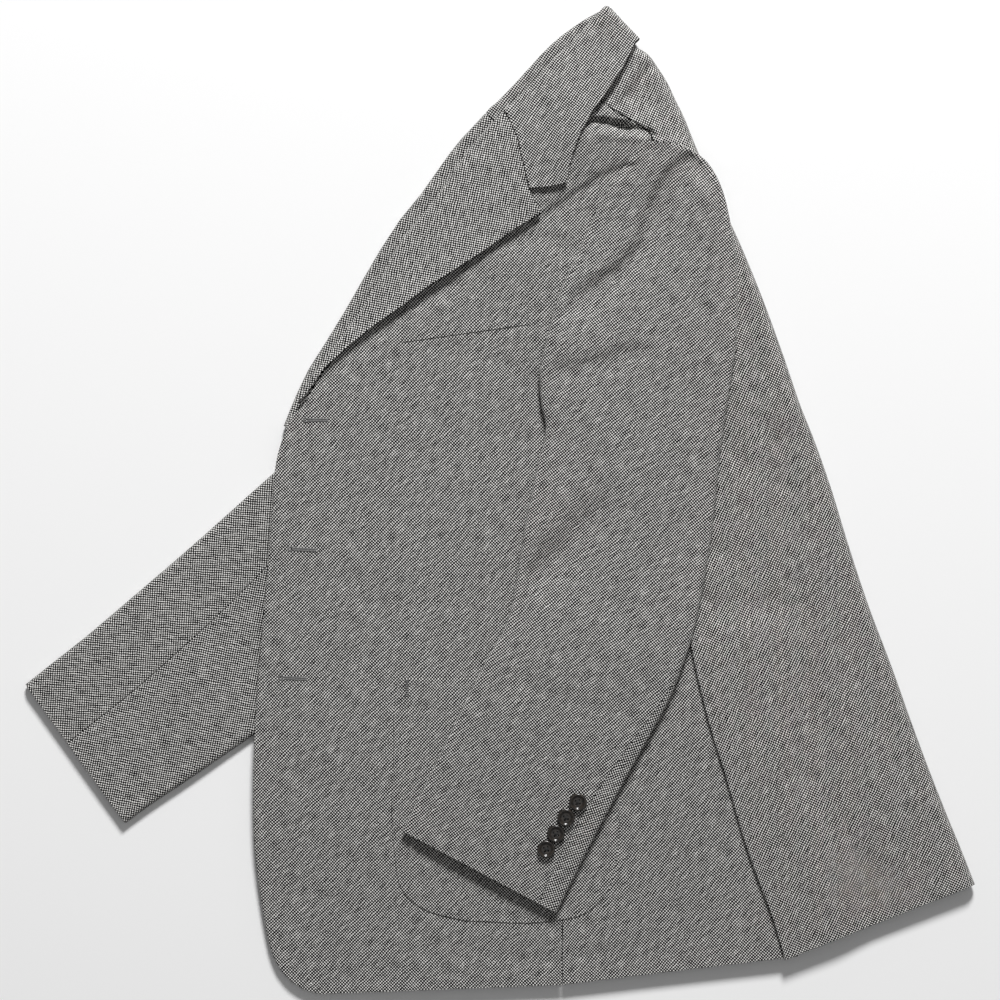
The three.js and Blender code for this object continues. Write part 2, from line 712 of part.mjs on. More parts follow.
// Left sleeve on top of the coat: hind and front edge, height, how far the back seam lies in
// from the hind edge (seam), and what it lies on above the front (lift)
const leftSleeveRows = tableOf(['hx', 'hy', 'fx', 'fy', 'height', 'seam', 'lift'], [
  [150, 297, 120, 300, 4.6, -8, 0],
  [167, 288, 107, 283, 5, -8, 0],
  [178, 276, 96, 268, 5.4, -8, 0],
  [187, 256, 85, 250, 6, -8, 0],
  [193, 230, 74, 227, 6.6, -8, 0],
  [198, 200, 63, 203, 7, -8, 0],
  [199, 170, 50, 175, 7.3, -8, 0],
  [198, 135, 40, 140, 7.5, -8, 0],
  [194, 104, 33, 108, 7.5, -8, 0],
  [190, 78, 34, 82, 7.5, -8, 0],
  [186, 52, 38, 58, 7.5, -8, 0],
  [182, 16, 30, 25, 7.5, -8, 0],
  [178, -22, 21, -20, 7.5, -8, 0.2],
  [171, -66, 14, -62, 7.5, -8, 1],
  [163, -106, 6, -101, 7.5, -6, 2.2],
  [153, -138, -12, -134, 7.5, -1, 2.6],
  [141, -168, -30, -170, 7.2, 6, 2.6],
  [123, -201, -46, -203, 6.8, 12, 2.6],
  [103, -237, -60, -232, 6.2, 17, 2.6],
  [76, -288, -71, -254, 5.6, 19, 2.7],
  [47, -346, -82, -277, 5.2, 17, 2.8],
]);
const seatHeight = (x, y, row) => frontTop(x, y) + layGap + row.lift;
const crown = (across) => 1 - crownDrop * (2 * across - 1) ** 2;
const leftSleeveFaces = {
  bottom: seatHeight,
  top: (x, y, row, across) => {
    const pressed = row.height * crown(across) - foldDepth(sleeveFolds, x, y);
    return seatHeight(x, y, row) + pressed;
  },
};
const topSleeveLeg = 14;       // how far the top sleeve reaches round under the front edge
const curveSteps = 4;
const closest = 0.6;           // least distance between two points round a section

function leftTopSamples(row, curveLength, flat) {
  const start = row.seam + curveLength - sleeveEdge;
  const hind = [start];
  for (let k = 1; k <= curveSteps; k += 1) {
    hind.push(Math.max(start + closest * k, curveLength * k / curveSteps));
  }
  const over = spread(hind[curveSteps], curveLength + flat, 8);
  const front = spread(curveLength + flat, 2 * curveLength + flat, curveSteps);
  return [...hind, ...over, ...front, 2 * curveLength + flat + topSleeveLeg * 0.7];
}

function leftUnderSamples(row, curveLength, flat) {
  const start = row.seam + curveLength - sleeveEdge - seamGap;
  const hind = [start];
  for (let k = 1; k <= curveSteps; k += 1) {
    hind.push(Math.min(start - closest * k, curveLength * (1 - k / curveSteps)));
  }
  return [...hind, ...spread(hind[curveSteps], -(flat - topSleeveLeg), 5)];
}
addPiece('left_top_sleeve', flatSleeve(leftSleeveRows, 30, leftTopSamples, leftSleeveFaces), cloth);
const underRows = leftSleeveRows.slice(4);
addPiece('left_under_sleeve', flatSleeve(underRows, 24, leftUnderSamples, leftSleeveFaces), cloth);

// Right sleeve on the floor, inner side up, with its back seam along the upper side
const rightSeam = 61;
const rightLap = 20;
const rightSleeveFaces = {
  bottom: () => 0,
  top: (x, y, row) => row.height,
};

function rightTopSamples(row, curveLength, flat) {
  const seam = curveLength + Math.min(rightSeam, flat * 0.6) - sleeveEdge;
  const over = [seam, ...spread(seam, curveLength, 2)];
  const hind = spread(curveLength, 0, curveSteps);
  return [...over, ...hind, ...spread(0, -(flat - rightLap), 4)];
}

function rightUnderSamples(row, curveLength, flat) {
  const seam = curveLength + Math.min(rightSeam, flat * 0.6) - sleeveEdge + seamGap;
  const over = [seam, ...spread(seam, curveLength + flat, 3)];
  const front = spread(curveLength + flat, 2 * curveLength + flat, curveSteps);
  return [...over, ...front, 2 * curveLength + flat + rightLap * 0.7];
}
addPiece('right_top_sleeve', flatSleeve(rightSleeveRows, 18, rightTopSamples, rightSleeveFaces), cloth);
addPiece('right_under_sleeve', flatSleeve(rightSleeveRows, 18, rightUnderSamples, rightSleeveFaces), cloth);

// Cuff buttons: turned discs with a raised rim and a dished face
const buttonPlaces = tableOf(['x', 'y', 'section'], [
  [65, -252.4, 18.33],
  [55.2, -265.4, 18.63],
  [46.7, -278.9, 18.95],
  [38.6, -291.8, 19.2],
]);
const buttonShare = 0.2;       // where the buttons sit, as a share from the hind edge
const buttonProfile = [
  [0, 0], [0.28, 0], [0.43, 0.25], [0.5, 0.62], [0.47, 0.94], [0.41, 1], [0.35, 0.92], [0.3, 0.66], [0, 0.62],
].map(([r, z]) => new THREE.Vector2(r * buttonDiameter, z * buttonHeight));
buttonPlaces.forEach((place, i) => {
  const geometry = new THREE.LatheGeometry(buttonProfile, 16);
  geometry.rotateX(Math.PI / 2);
  const button = addPiece(`cuff_button_${i + 1}`, geometry, horn);
  const row = rowAt(leftSleeveRows, place.section / (leftSleeveRows.length - 1));
  const seat = leftSleeveFaces.top(place.x, place.y, row, buttonShare) + layGap;
  button.position.set(place.x, place.y, seat);
});

export default coat;
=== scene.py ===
import math

import bpy
import numpy as np
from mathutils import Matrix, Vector


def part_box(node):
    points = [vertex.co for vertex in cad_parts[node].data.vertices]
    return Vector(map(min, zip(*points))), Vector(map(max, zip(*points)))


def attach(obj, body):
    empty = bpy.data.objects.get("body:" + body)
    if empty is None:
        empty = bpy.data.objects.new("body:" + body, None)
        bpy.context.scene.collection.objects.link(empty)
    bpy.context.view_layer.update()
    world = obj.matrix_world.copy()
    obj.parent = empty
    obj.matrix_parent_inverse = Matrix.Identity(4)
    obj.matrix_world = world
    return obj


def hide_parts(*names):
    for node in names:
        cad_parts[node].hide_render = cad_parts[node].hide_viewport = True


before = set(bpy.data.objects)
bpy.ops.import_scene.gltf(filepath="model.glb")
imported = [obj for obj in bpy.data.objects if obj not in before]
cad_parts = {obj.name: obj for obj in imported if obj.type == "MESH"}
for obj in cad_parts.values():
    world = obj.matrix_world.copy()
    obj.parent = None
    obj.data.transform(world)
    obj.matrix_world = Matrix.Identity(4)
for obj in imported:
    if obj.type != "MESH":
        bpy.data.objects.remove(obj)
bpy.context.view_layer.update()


# Right sleeve: a top sleeve and an under sleeve, sewn together along both sides and pressed flat.
# It lies on the surface under the coat with its inner side up, so its back seam shows.
# It is cut from the coat's black and off-white birdseye worsted.
ply = 1.8
seam_gap = 0.4
sewn_gap = 0.12
lay_gap = 0.5
sleeve_edge = 5.0
edge_round = 0.25
birdseye_repeat = 2.65


def table(columns, *rows):
    return dict(zip(columns.split(), np.array(rows, float).T))


def read(rows, key, at, value):
    """Straight-line reading of one column of a table"""
    return np.interp(at, rows[key], rows[value])


def read_smooth(rows, key, at, value):
    """Reading of one column of a table with no kink at a row"""
    k, w = rows[key], rows[value]
    at = np.clip(at, k[0], k[-1])
    i = np.clip(np.searchsorted(k, at, side="right") - 1, 0, len(k) - 2)
    order = np.arange(len(k))
    low, high = np.maximum(order - 1, 0), np.minimum(order + 1, len(k) - 1)
    slope = (w[high] - w[low]) / (k[high] - k[low])
    span = k[i + 1] - k[i]
    t = (at - k[i]) / span
    lean = t * (1 - t) * span * ((1 - t) * slope[i] - t * slope[i + 1])
    return w[i] + (w[i + 1] - w[i]) * t * t * (3 - 2 * t) + lean


def rows_at(rows, shares):
    """Rows at shares from the first to the last, on smooth curves through the rows between"""
    count = len(next(iter(rows.values())))
    place = np.asarray(shares) * (count - 1)
    i = np.minimum(np.floor(place).astype(int), count - 2)
    t = place - i
    found = {}
    for name, w in rows.items():
        a, b, c, d = w[np.maximum(i - 1, 0)], w[i], w[i + 1], w[np.minimum(i + 2, count - 1)]
        found[name] = b + 0.5 * t * (c - a + t * (2 * a - 5 * b + 4 * c - d + t * (3 * (b - c) + d - a)))
    return found


def smooth(t):
    t = np.clip(t, 0, 1)
    return t * t * (3 - 2 * t)


def edge_shares(steps, share_of_edge):
    """Even steps from 0 to 1 with one narrow step more at each end"""
    inner = np.linspace(0, 1, steps + 1)[1:-1]
    return np.concatenate([[0, share_of_edge], inner, [1 - share_of_edge, 1]])


def add_piece(name, points, faces):
    """A new object with smooth faces, from points in millimetres"""
    mesh = bpy.data.meshes.new(name)
    mesh.from_pydata((np.array(points, float) * 0.001).tolist(), [], faces)
    mesh.shade_smooth()
    piece = bpy.data.objects.new(name, mesh)
    bpy.context.collection.objects.link(piece)
    return piece


def new_finish(name):
    """A new material, its nodes, its links and its shader"""
    finish = bpy.data.materials.new(name)
    finish.use_nodes = True
    nodes = finish.node_tree.nodes
    return finish, nodes, finish.node_tree.links, nodes["Principled BSDF"]


def set_inputs(node, values):
    for socket, value in values.items():
        node.inputs[socket].default_value = value


def birdseye(name, light_thread, dark_thread):
    """Small light dots in diagonal rows on a dark ground, read from the cloth's own flat coordinates"""
    cloth, nodes, links, shader = new_finish(name)

    def maths(operation, first, second=None, third=None):
        made = nodes.new("ShaderNodeMath")
        made.operation = operation
        for socket, value in zip(made.inputs, (first, second, third)):
            if isinstance(value, (int, float)):
                socket.default_value = value
            elif value is not None:
                links.new(value, socket)
        return made.outputs[0]

    def noise(place, scale, detail):
        made = nodes.new("ShaderNodeTexNoise")
        made.noise_dimensions = "2D"
        set_inputs(made, {"Scale": scale, "Detail": detail})
        links.new(place, made.inputs["Vector"])
        return made.outputs["Fac"]

    cut = nodes.new("ShaderNodeAttribute")
    cut.attribute_name = "weave"
    flat = cut.outputs["Vector"]
    axes = nodes.new("ShaderNodeSeparateXYZ")
    links.new(flat, axes.inputs[0])
    wander = maths("MULTIPLY_ADD", noise(flat, 0.09, 1.0), 1.1, -0.55)
    across = maths("ADD", axes.outputs[0], wander)
    along = maths("SUBTRACT", axes.outputs[1], wander)
    turn = 2 * math.pi / birdseye_repeat
    warp = maths("COSINE", maths("MULTIPLY", across, turn))
    weft = maths("COSINE", maths("MULTIPLY", along, turn))
    dots = maths("MULTIPLY", warp, weft)

    twill = nodes.new("ShaderNodeCombineXYZ")
    links.new(maths("MULTIPLY", maths("ADD", across, along), 0.07), twill.inputs[0])
    links.new(maths("MULTIPLY", maths("SUBTRACT", across, along), 0.62), twill.inputs[1])
    ribs = noise(twill.outputs[0], 1.0, 0.0)
    yarn = noise(flat, 0.85, 1.0)
    uneven = maths("ADD", maths("MULTIPLY_ADD", yarn, 0.8, -0.4), maths("MULTIPLY_ADD", ribs, 0.6, -0.3))
    clamp = nodes.new("ShaderNodeClamp")
    links.new(maths("MULTIPLY_ADD", maths("ADD", dots, uneven), 5.0, -0.9), clamp.inputs["Value"])

    colour = nodes.new("ShaderNodeMix")
    colour.data_type = "RGBA"
    set_inputs(colour, {"A": (*dark_thread, 1), "B": (*light_thread, 1)})
    links.new(clamp.outputs[0], colour.inputs["Factor"])
    tone = nodes.new("ShaderNodeHueSaturation")
    links.new(maths("MULTIPLY_ADD", noise(flat, 0.02, 2.0), 0.12, 0.94), tone.inputs["Value"])
    links.new(colour.outputs["Result"], tone.inputs["Color"])
    raised = nodes.new("ShaderNodeBump")
    set_inputs(raised, {"Strength": 0.45, "Distance": 0.00025})
    links.new(clamp.outputs[0], raised.inputs["Height"])
    set_inputs(shader, {"Roughness": 0.93, "Specular IOR Level": 0.08})
    set_inputs(shader, {"Sheen Weight": 0.03, "Sheen Roughness": 0.45})
    links.new(tone.outputs["Color"], shader.inputs["Base Color"])
    links.new(raised.outputs["Normal"], shader.inputs["Normal"])
    return cloth


coat_cloth = birdseye("coat_birdseye", (0.8, 0.79, 0.765), (0.003, 0.003, 0.004))


def cloth_shell(name, outer, inner, flat, grain, rims=1):
    """One thin closed shell from two matched grids, with its cut edges rounded, or layered where
    rims is more than 1. flat is where each point lies in the cut cloth, grain its angle there"""
    count, columns = outer.shape[:2]
    i, j = np.arange(count), np.arange(columns)
    ring = [(0, c) for c in j] + [(r, columns - 1) for r in i[1:]]
    ring += [(count - 1, c) for c in j[-2::-1]] + [(r, 0) for r in i[-2:0:-1]]
    rim = tuple(np.array(ring).T)
    beside = (np.clip(rim[0], 1, count - 2), np.clip(rim[1], 1, columns - 2))
    edges = []
    for k in range(rims):
        share = (k + 1) / (rims + 1)
        level = outer[rim] * (1 - share) + inner[rim] * share
        if k % 2 == 1:
            level = level * 0.985 + outer[beside] * 0.015
        edges.append(level)
    out, back = outer.copy(), inner.copy()
    if rims == 1:
        inward = outer[beside] - outer[rim]
        inward *= edge_round / np.maximum(np.linalg.norm(inward, axis=1), 1e-6)[:, None]
        out[rim] += inward
        back[rim] += inward
    points = np.concatenate([out.reshape(-1, 3), back.reshape(-1, 3), *edges])
    weave = np.concatenate([flat.reshape(-1, 2), flat.reshape(-1, 2), *[flat[rim]] * rims])

    number = np.arange(count * columns).reshape(count, columns)
    a, b, c, d = number[:-1, :-1], number[:-1, 1:], number[1:, 1:], number[1:, :-1]
    top = np.stack([a, b, c, d], -1).reshape(-1, 4)
    loops = [number[rim]]
    loops += [2 * count * columns + k * len(ring) + np.arange(len(ring)) for k in range(rims)]
    loops += [number[rim] + count * columns]
    faces = [top, top[:, ::-1] + count * columns]
    for above, below in zip(loops, loops[1:]):
        faces.append(np.stack([np.roll(above, -1), above, below, np.roll(below, -1)], -1))
    faces = np.concatenate(faces)
    p, q, r, s = (points[faces[:, k]] for k in range(4))
    if (p * np.cross(q, r)).sum() + (p * np.cross(r, s)).sum() < 0:
        faces = faces[:, ::-1]

    piece = add_piece(name, points, faces.tolist())
    turn = math.radians(grain)
    u = weave[:, 0] * math.cos(turn) + weave[:, 1] * math.sin(turn)
    v = -weave[:, 0] * math.sin(turn) + weave[:, 1] * math.cos(turn)
    cut = piece.data.attributes.new("weave", "FLOAT_VECTOR", "POINT")
    cut.data.foreach_set("vector", np.stack([u, v, 0 * u], -1).ravel())
    piece.data.materials.append(coat_cloth)
    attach(piece, "root")
    return piece


def between_edges(row, share):
    """Place at a share of the way from the sleeve's hind edge to its front edge"""
    return [row["h" + axis] + (row["f" + axis] - row["h" + axis]) * share for axis in "xy"]


def flat_sleeve(rows, along, arcs_of, top_of, bottom_of):
    """Sections of a flattened sleeve. Distance round a section starts at the bottom end of the hind
    edge's curve, then runs over that edge, over the top, round the front edge and under"""
    shares = edge_shares(along, 0.25 / along)
    found = rows_at(rows, shares)
    outer, inner, flat = [], [], []
    for i in range(len(shares)):
        row = {name: values[i] for name, values in found.items()}
        width = math.hypot(row["fx"] - row["hx"], row["fy"] - row["hy"])
        curve = 0.5 * math.pi * (sleeve_edge + row["height"] / 2)
        level = width - 2 * sleeve_edge
        end = 2 * curve + level
        arc = np.array(arcs_of(row, curve, level), float)
        hind, under_hind = (arc >= 0) & (arc <= curve), arc < 0
        front, under_front = (arc >= curve + level) & (arc <= end), arc > end
        turn = np.where(hind, arc / curve, (end - arc) / curve)
        angle = np.radians(180 * np.clip(turn, 0, 1) - 90)
        base = between_edges(row, np.where(hind, sleeve_edge, width - sleeve_edge) / width)
        high = top_of(*base, row, np.where(hind, 0.0, 1.0))
        low = bottom_of(*base, row)
        across = np.clip((arc - curve) / level, 0, 1)
        for kept, inset in ((outer, 0.0), (inner, ply)):
            arm = (sleeve_edge - inset) * np.cos(angle)
            from_hind = np.select(
                [under_hind, under_front, hind, front],
                [sleeve_edge - arc, width - sleeve_edge - (arc - end), sleeve_edge - arm,
                 width - sleeve_edge + arm], sleeve_edge + arc - curve)
            x, y = between_edges(row, from_hind / width)
            on_curve = (high + low) / 2 + ((high - low) / 2 - inset) * np.sin(angle)
            z = np.select([under_hind | under_front, hind | front], [bottom_of(x, y, row) + inset, on_curve],
                          top_of(x, y, row, across) - inset)
            kept.append(np.stack([x, y, z], -1))
        flat.append(np.stack(between_edges(row, (sleeve_edge + arc - curve) / width), -1))
    return np.array(outer), np.array(inner), np.array(flat)


right_sleeve_rows = table(
    "hx hy fx fy height",
    (-399, -155, -315, -272, 7.4),
    (-375, -136, -293, -256, 7.4),
    (-346, -113, -260, -234, 7.2),
    (-306, -79, -228, -212, 6.8),
    (-255, -35, -190, -186, 6),
    (-190, 23, -146, -155, 6),
    (-137, 68, -84, -111, 6),
    (-84, 113, -24, -69, 6),
    (-20, 167, 40, -30, 6),
    (40, 219, 96, 6, 6),
    (84, 256, 140, 36, 6),
    (116, 276, 166, 90, 6),
    (140, 286, 174, 150, 6),
    (154, 286, 176, 210, 6),
)
right_back_seam = 61
right_front_lap = 20


def right_top_arcs(row, curve, level):
    seam = curve + min(right_back_seam, level * 0.6) - sleeve_edge
    steps = [seam, seam - 1.2, *np.linspace(seam - 1.2, curve, 9)[1:], *np.linspace(curve, 0, 11)[1:]]
    return steps + list(np.linspace(0, -(level - right_front_lap), 13)[1:])


def right_under_arcs(row, curve, level):
    seam = curve + min(right_back_seam, level * 0.6) - sleeve_edge + sewn_gap
    end = 2 * curve + level
    steps = [seam, seam + 1.2, *np.linspace(seam + 1.2, curve + level, 17)[1:]]
    steps += list(np.linspace(curve + level, end, 11)[1:])
    return steps + list(np.linspace(end, end + right_front_lap * 0.7, 4)[1:])


def right_sleeve_top(x, y, row, across):
    """The sleeve's height, with a soft hollow beside the back seam and a low swell above the cuff"""
    hollow = 0.3 * np.exp(-((across - 0.42) / 0.09) ** 2) * smooth((x + 385) / 60)
    swell = 0.2 * np.exp(-((x + 330) / 40) ** 2) * np.sin(np.pi * across)
    return row["height"] - hollow + swell


def on_floor(x, y, row=None):
    return 0 * x


right_sleeve_grain = -49
grids = flat_sleeve(right_sleeve_rows, 90, right_top_arcs, right_sleeve_top, on_floor)
right_top_sleeve = cloth_shell("right_top_sleeve_cloth", *grids, right_sleeve_grain)
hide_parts("right_top_sleeve")
grids = flat_sleeve(right_sleeve_rows, 90, right_under_arcs, right_sleeve_top, on_floor)
right_under_sleeve = cloth_shell("right_under_sleeve_cloth", *grids, right_sleeve_grain - 7)
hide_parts("right_under_sleeve")


# Right front, side and back: the half of the body underneath, outer side down, from the same cut as
# the left half. It lies on the floor, over the right sleeve and over its own folded lapel and collar.
fold_edge = 8.0
fold_radius = 8.5
fold_angles = (78, 66, 54, 42, 30, 18, 8, 0)
sleeve_bed = 6.0
across_sleeve = 0.78
beside_sleeve = 50
sleeve_ramp = 38
underarm_x = 160
sleeve_head_end = 178
beside_leaf = 50
leaf_ramp = 30
leaf_bottom = 15
leaf_bottom_run = 35
panel_columns = "lx ly rx ry"

levels = table(
    "y front fold edge middle back",
    (-430, -205, 440, 6.2, 8.5, 9.5),
    (-330, -203, 402, 8, 11, 11),
    (-240, -207, 366, 11.5, 14.5, 12),
    (-120, -200, 320, 12.2, 16, 13),
    (0, -191, 281, 13, 16.5, 14),
    (80, -172, 252, 13.8, 17, 15),
    (160, -115, 222, 13.4, 18, 16),
    (240, -65, 190, 13.2, 20, 18),
    (300, -21, 165, 13.4, 21, 19),
    (350, 26, 143, 14, 20, 19),
    (430, 95, 98, 15, 18, 18),
)
right_leaf_edge = table(
    "y x",
    (62, -182), (98, -158), (121, -141), (139, -122), (154, -102), (173, -78), (203, -33), (230, 14),
    (265, 46), (300, 56), (320, 65), (340, 77), (367, 100), (388, 119), (420, 119),
)


def bed(x, y):
    """How high the right sleeve, lapel and collar hold the right half off the floor"""
    upper = read(right_sleeve_rows, "hx", x, "hy")
    lower = read(right_sleeve_rows, "fx", np.minimum(x, underarm_x), "fy")
    inside = np.minimum(across_sleeve * np.minimum(upper - y, y - lower), sleeve_head_end - x)
    over_sleeve = (sleeve_bed + lay_gap) * smooth((inside + beside_sleeve) / sleeve_ramp)
    inside = read(right_leaf_edge, "y", y, "x") - x
    over_leaf = (ply + lay_gap) * smooth((inside + beside_leaf) / leaf_ramp)
    return np.maximum(over_sleeve, over_leaf * smooth((y - leaf_bottom) / leaf_bottom_run))


def fold_middle(y):
    return 0.5 * read_smooth(levels, "y", y, "back")


def panel(rows, across, along, face, inward, fold_side=0, close=()):
    """A cut panel between its left and right edges, one face at a given height. Where fold_side is
    set, its right edge turns down or up round the centre back fold. close lists distances from the
    left edge where more points are wanted"""
    shares = edge_shares(along, 0.3 / along)
    row = rows_at(rows, shares)
    dx, dy = row["rx"] - row["lx"], row["ry"] - row["ly"]
    length = np.hypot(dx, dy)
    reach = (length - fold_edge) / length if fold_side else np.ones_like(length)
    edge = 1.5 / length
    steps = np.linspace(0, 1, across + 1)[1:-1]
    first = close[-1] / length if close else 0 * length
    u = [0 * length, edge, *[d / length for d in close], *[first + (reach - first) * s for s in steps]]
    u += [reach] if fold_side else [1 - edge, reach]
    u = np.stack(u, -1)
    x = row["lx"][:, None] + dx[:, None] * u
    y = row["ly"][:, None] + dy[:, None] * u
    z = face(x, y)
    outer = [np.stack([x, y, z], -1)]
    inner = [np.stack([x, y, z + inward], -1)]
    flat = [np.stack([x, y], -1)]
    if fold_side:
        way = np.stack([dx, dy], -1) / length[:, None]
        bx, by, bz = x[:, -1], y[:, -1], z[:, -1]
        centre = fold_middle(by) + fold_side * seam_gap / 2
        travel = 0
        for before, angle in zip((90, *fold_angles), fold_angles):
            travel += math.radians(before - angle) * fold_radius
            for kept, height in ((outer, bz), (inner, bz + inward)):
                arm = np.abs((height - centre) / (bz - centre)) * fold_edge * math.cos(math.radians(angle))
                rise = (height - centre) * math.sin(math.radians(angle))
                line = np.stack([bx + arm * way[:, 0], by + arm * way[:, 1], centre + rise], -1)
                kept.append(line[:, None])
            flat.append((np.stack([bx, by], -1) + travel * way)[:, None])
    return np.concatenate(outer, 1), np.concatenate(inner, 1), np.concatenate(flat, 1)


right_front_rows = table(
    panel_columns,
    (-150, -413, 52, -406),
    (-180, -397, 52, -389),
    (-191, -378, 52, -371),
    (-198, -340, 53, -335),
    (-204, -290, 54, -290),
    (-205, -235, 57, -230),
    (-203, -180, 60, -170),
    (-199, -115, 64, -110),
    (-194, -60, 70, -55),
    (-191, -5, 76, 5),
    (-189, 25, 77, 42),
    (-181, 50, 72, 72),
    (-171, 78, 64, 102),
    (-157, 104, 58, 130),
    (-140, 134, 52, 156),
    (-120, 168, 58, 185),
    (-99, 205, 72, 218),
    (-76, 236, 88, 250),
    (-52, 268, 106, 280),
    (-26, 301, 120.5, 306),
    (0, 322, 102, 318.5),
    (26, 334, 83.8, 332),
)
side_rows = table(
    panel_columns,
    (52.4, -407, 238.6, -385),
    (52.4, -371, 228.6, -352),
    (53.4, -335, 216.6, -320),
    (54.4, -290, 203.6, -283),
    (57.4, -235, 189.6, -235),
    (60.2, -178, 173.6, -183),
    (64.2, -118, 159.6, -123),
    (69.4, -66, 153.6, -75),
    (75, -15, 151, -25),
    (78, 20, 151, 20),
)
back_rows = table(
    panel_columns,
    (239, -386, 399, -323),
    (229, -352, 388, -295),
    (217, -320, 376, -266),
    (204, -283, 361, -228),
    (190, -235, 345, -185),
    (174, -183, 329, -140),
    (160, -123, 310, -90),
    (154, -75, 294, -42),
    (152, -25, 278, 10),
    (152, 20, 264, 50),
    (158, 60, 252, 80),
    (165, 105, 238, 121),
    (166, 150, 222, 165),
    (160, 195, 205, 207),
    (152, 235, 190, 240),
    (142, 268, 177, 268),
    (131, 292, 167, 290),
    (125, 308, 160, 307),
    (112, 316, 154, 322),
    (97, 325, 147, 336),
    (85, 334, 141, 349),
    (85, 350, 133, 362),
    (88, 364, 124, 374),
    (90, 376, 113, 381),
    (88, 386, 104, 389),
)
back_grain = 20

right_front = cloth_shell("right_front_cloth", *panel(right_front_rows, 40, 110, bed, ply), 0)
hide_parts("right_front")
right_side = cloth_shell("right_side_cloth", *panel(side_rows, 24, 60, bed, ply), 4)
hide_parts("right_side")
right_back = cloth_shell("right_back_cloth", *panel(back_rows, 22, 110, bed, ply, -1), back_grain)
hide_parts("right_back")


# Right lapel and collar: the facing turned over the roll line and the collar on its stand, folded
# outward and lying on the floor. They show as a strip beside the left lapel and collar.
roll_edge = 4.5
right_roll_leg = 34
tangent_step = 0.04
collar_fold_edge = 6.0
collar_fold_radius = 7.0
collar_fold_way = np.array([0.754, 0.657])
loose_gap = 0.3
roll_columns = "rx ry ex ey"

lapel_rows = table(
    roll_columns,
    (-170, 82, -163, 88),
    (-160, 101, -146, 112),
    (-146, 119, -126, 130),
    (-131, 139, -106, 146),
    (-113, 165, -84, 161),
    (-97, 192, -60, 179),
    (-82, 220, -37, 193),
    (-62, 243, -11, 210),
    (-44, 267, 13, 227),
    (-33, 285, 35, 240),
    (-25, 296, 29, 250),
    (-18, 304, 24, 260),
    (-10, 313, 20.2, 277),
    (-2, 321, 13.9, 304),
    (3.1, 326.7, 7.7, 318.4),
)
collar_rows = table(
    roll_columns,
    (3.6, 327.3, 8.2, 318.6),
    (7, 330.8, 14.5, 304.2),
    (12, 335.5, 20.8, 277.2),
    (16, 339, 24.8, 260.5),
    (21, 344, 41, 261.5),
    (26, 349.5, 56, 265),
    (33, 357, 58, 278),
    (40, 365, 61, 290),
    (48, 372.5, 68, 308),
    (56, 380, 78, 326),
    (64, 388, 89, 341),
    (72, 396, 101, 359),
    (79, 404, 109, 374),
    (86, 412, 113, 383),
)
right_roll = table(
    "rx ry",
    (-182, 62), (-172, 87), (-161, 110), (-147, 132), (-131, 158), (-115, 186), (-101, 210), (-84, 236),
    (-66, 258), (-54, 275), (-42, 292), (-32, 304.4), (-24.5, 312.2), (-17, 320.3), (-12.5, 325.2),
)
right_collar_roll = table(
    "rx ry",
    (-12, 325.8), (-8, 330.3), (-2.5, 334.7), (2, 339.4), (8, 345.4), (14.5, 352.4), (25, 364), (34, 374),
    (44, 384), (53, 391.5), (62, 398), (71, 404), (79, 408.5), (86, 412),
)


def straight_rows_at(rows, shares):
    count = len(next(iter(rows.values())))
    place = np.clip(shares, 0, 1) * (count - 1)
    return {name: np.interp(place, np.arange(count), w) for name, w in rows.items()}


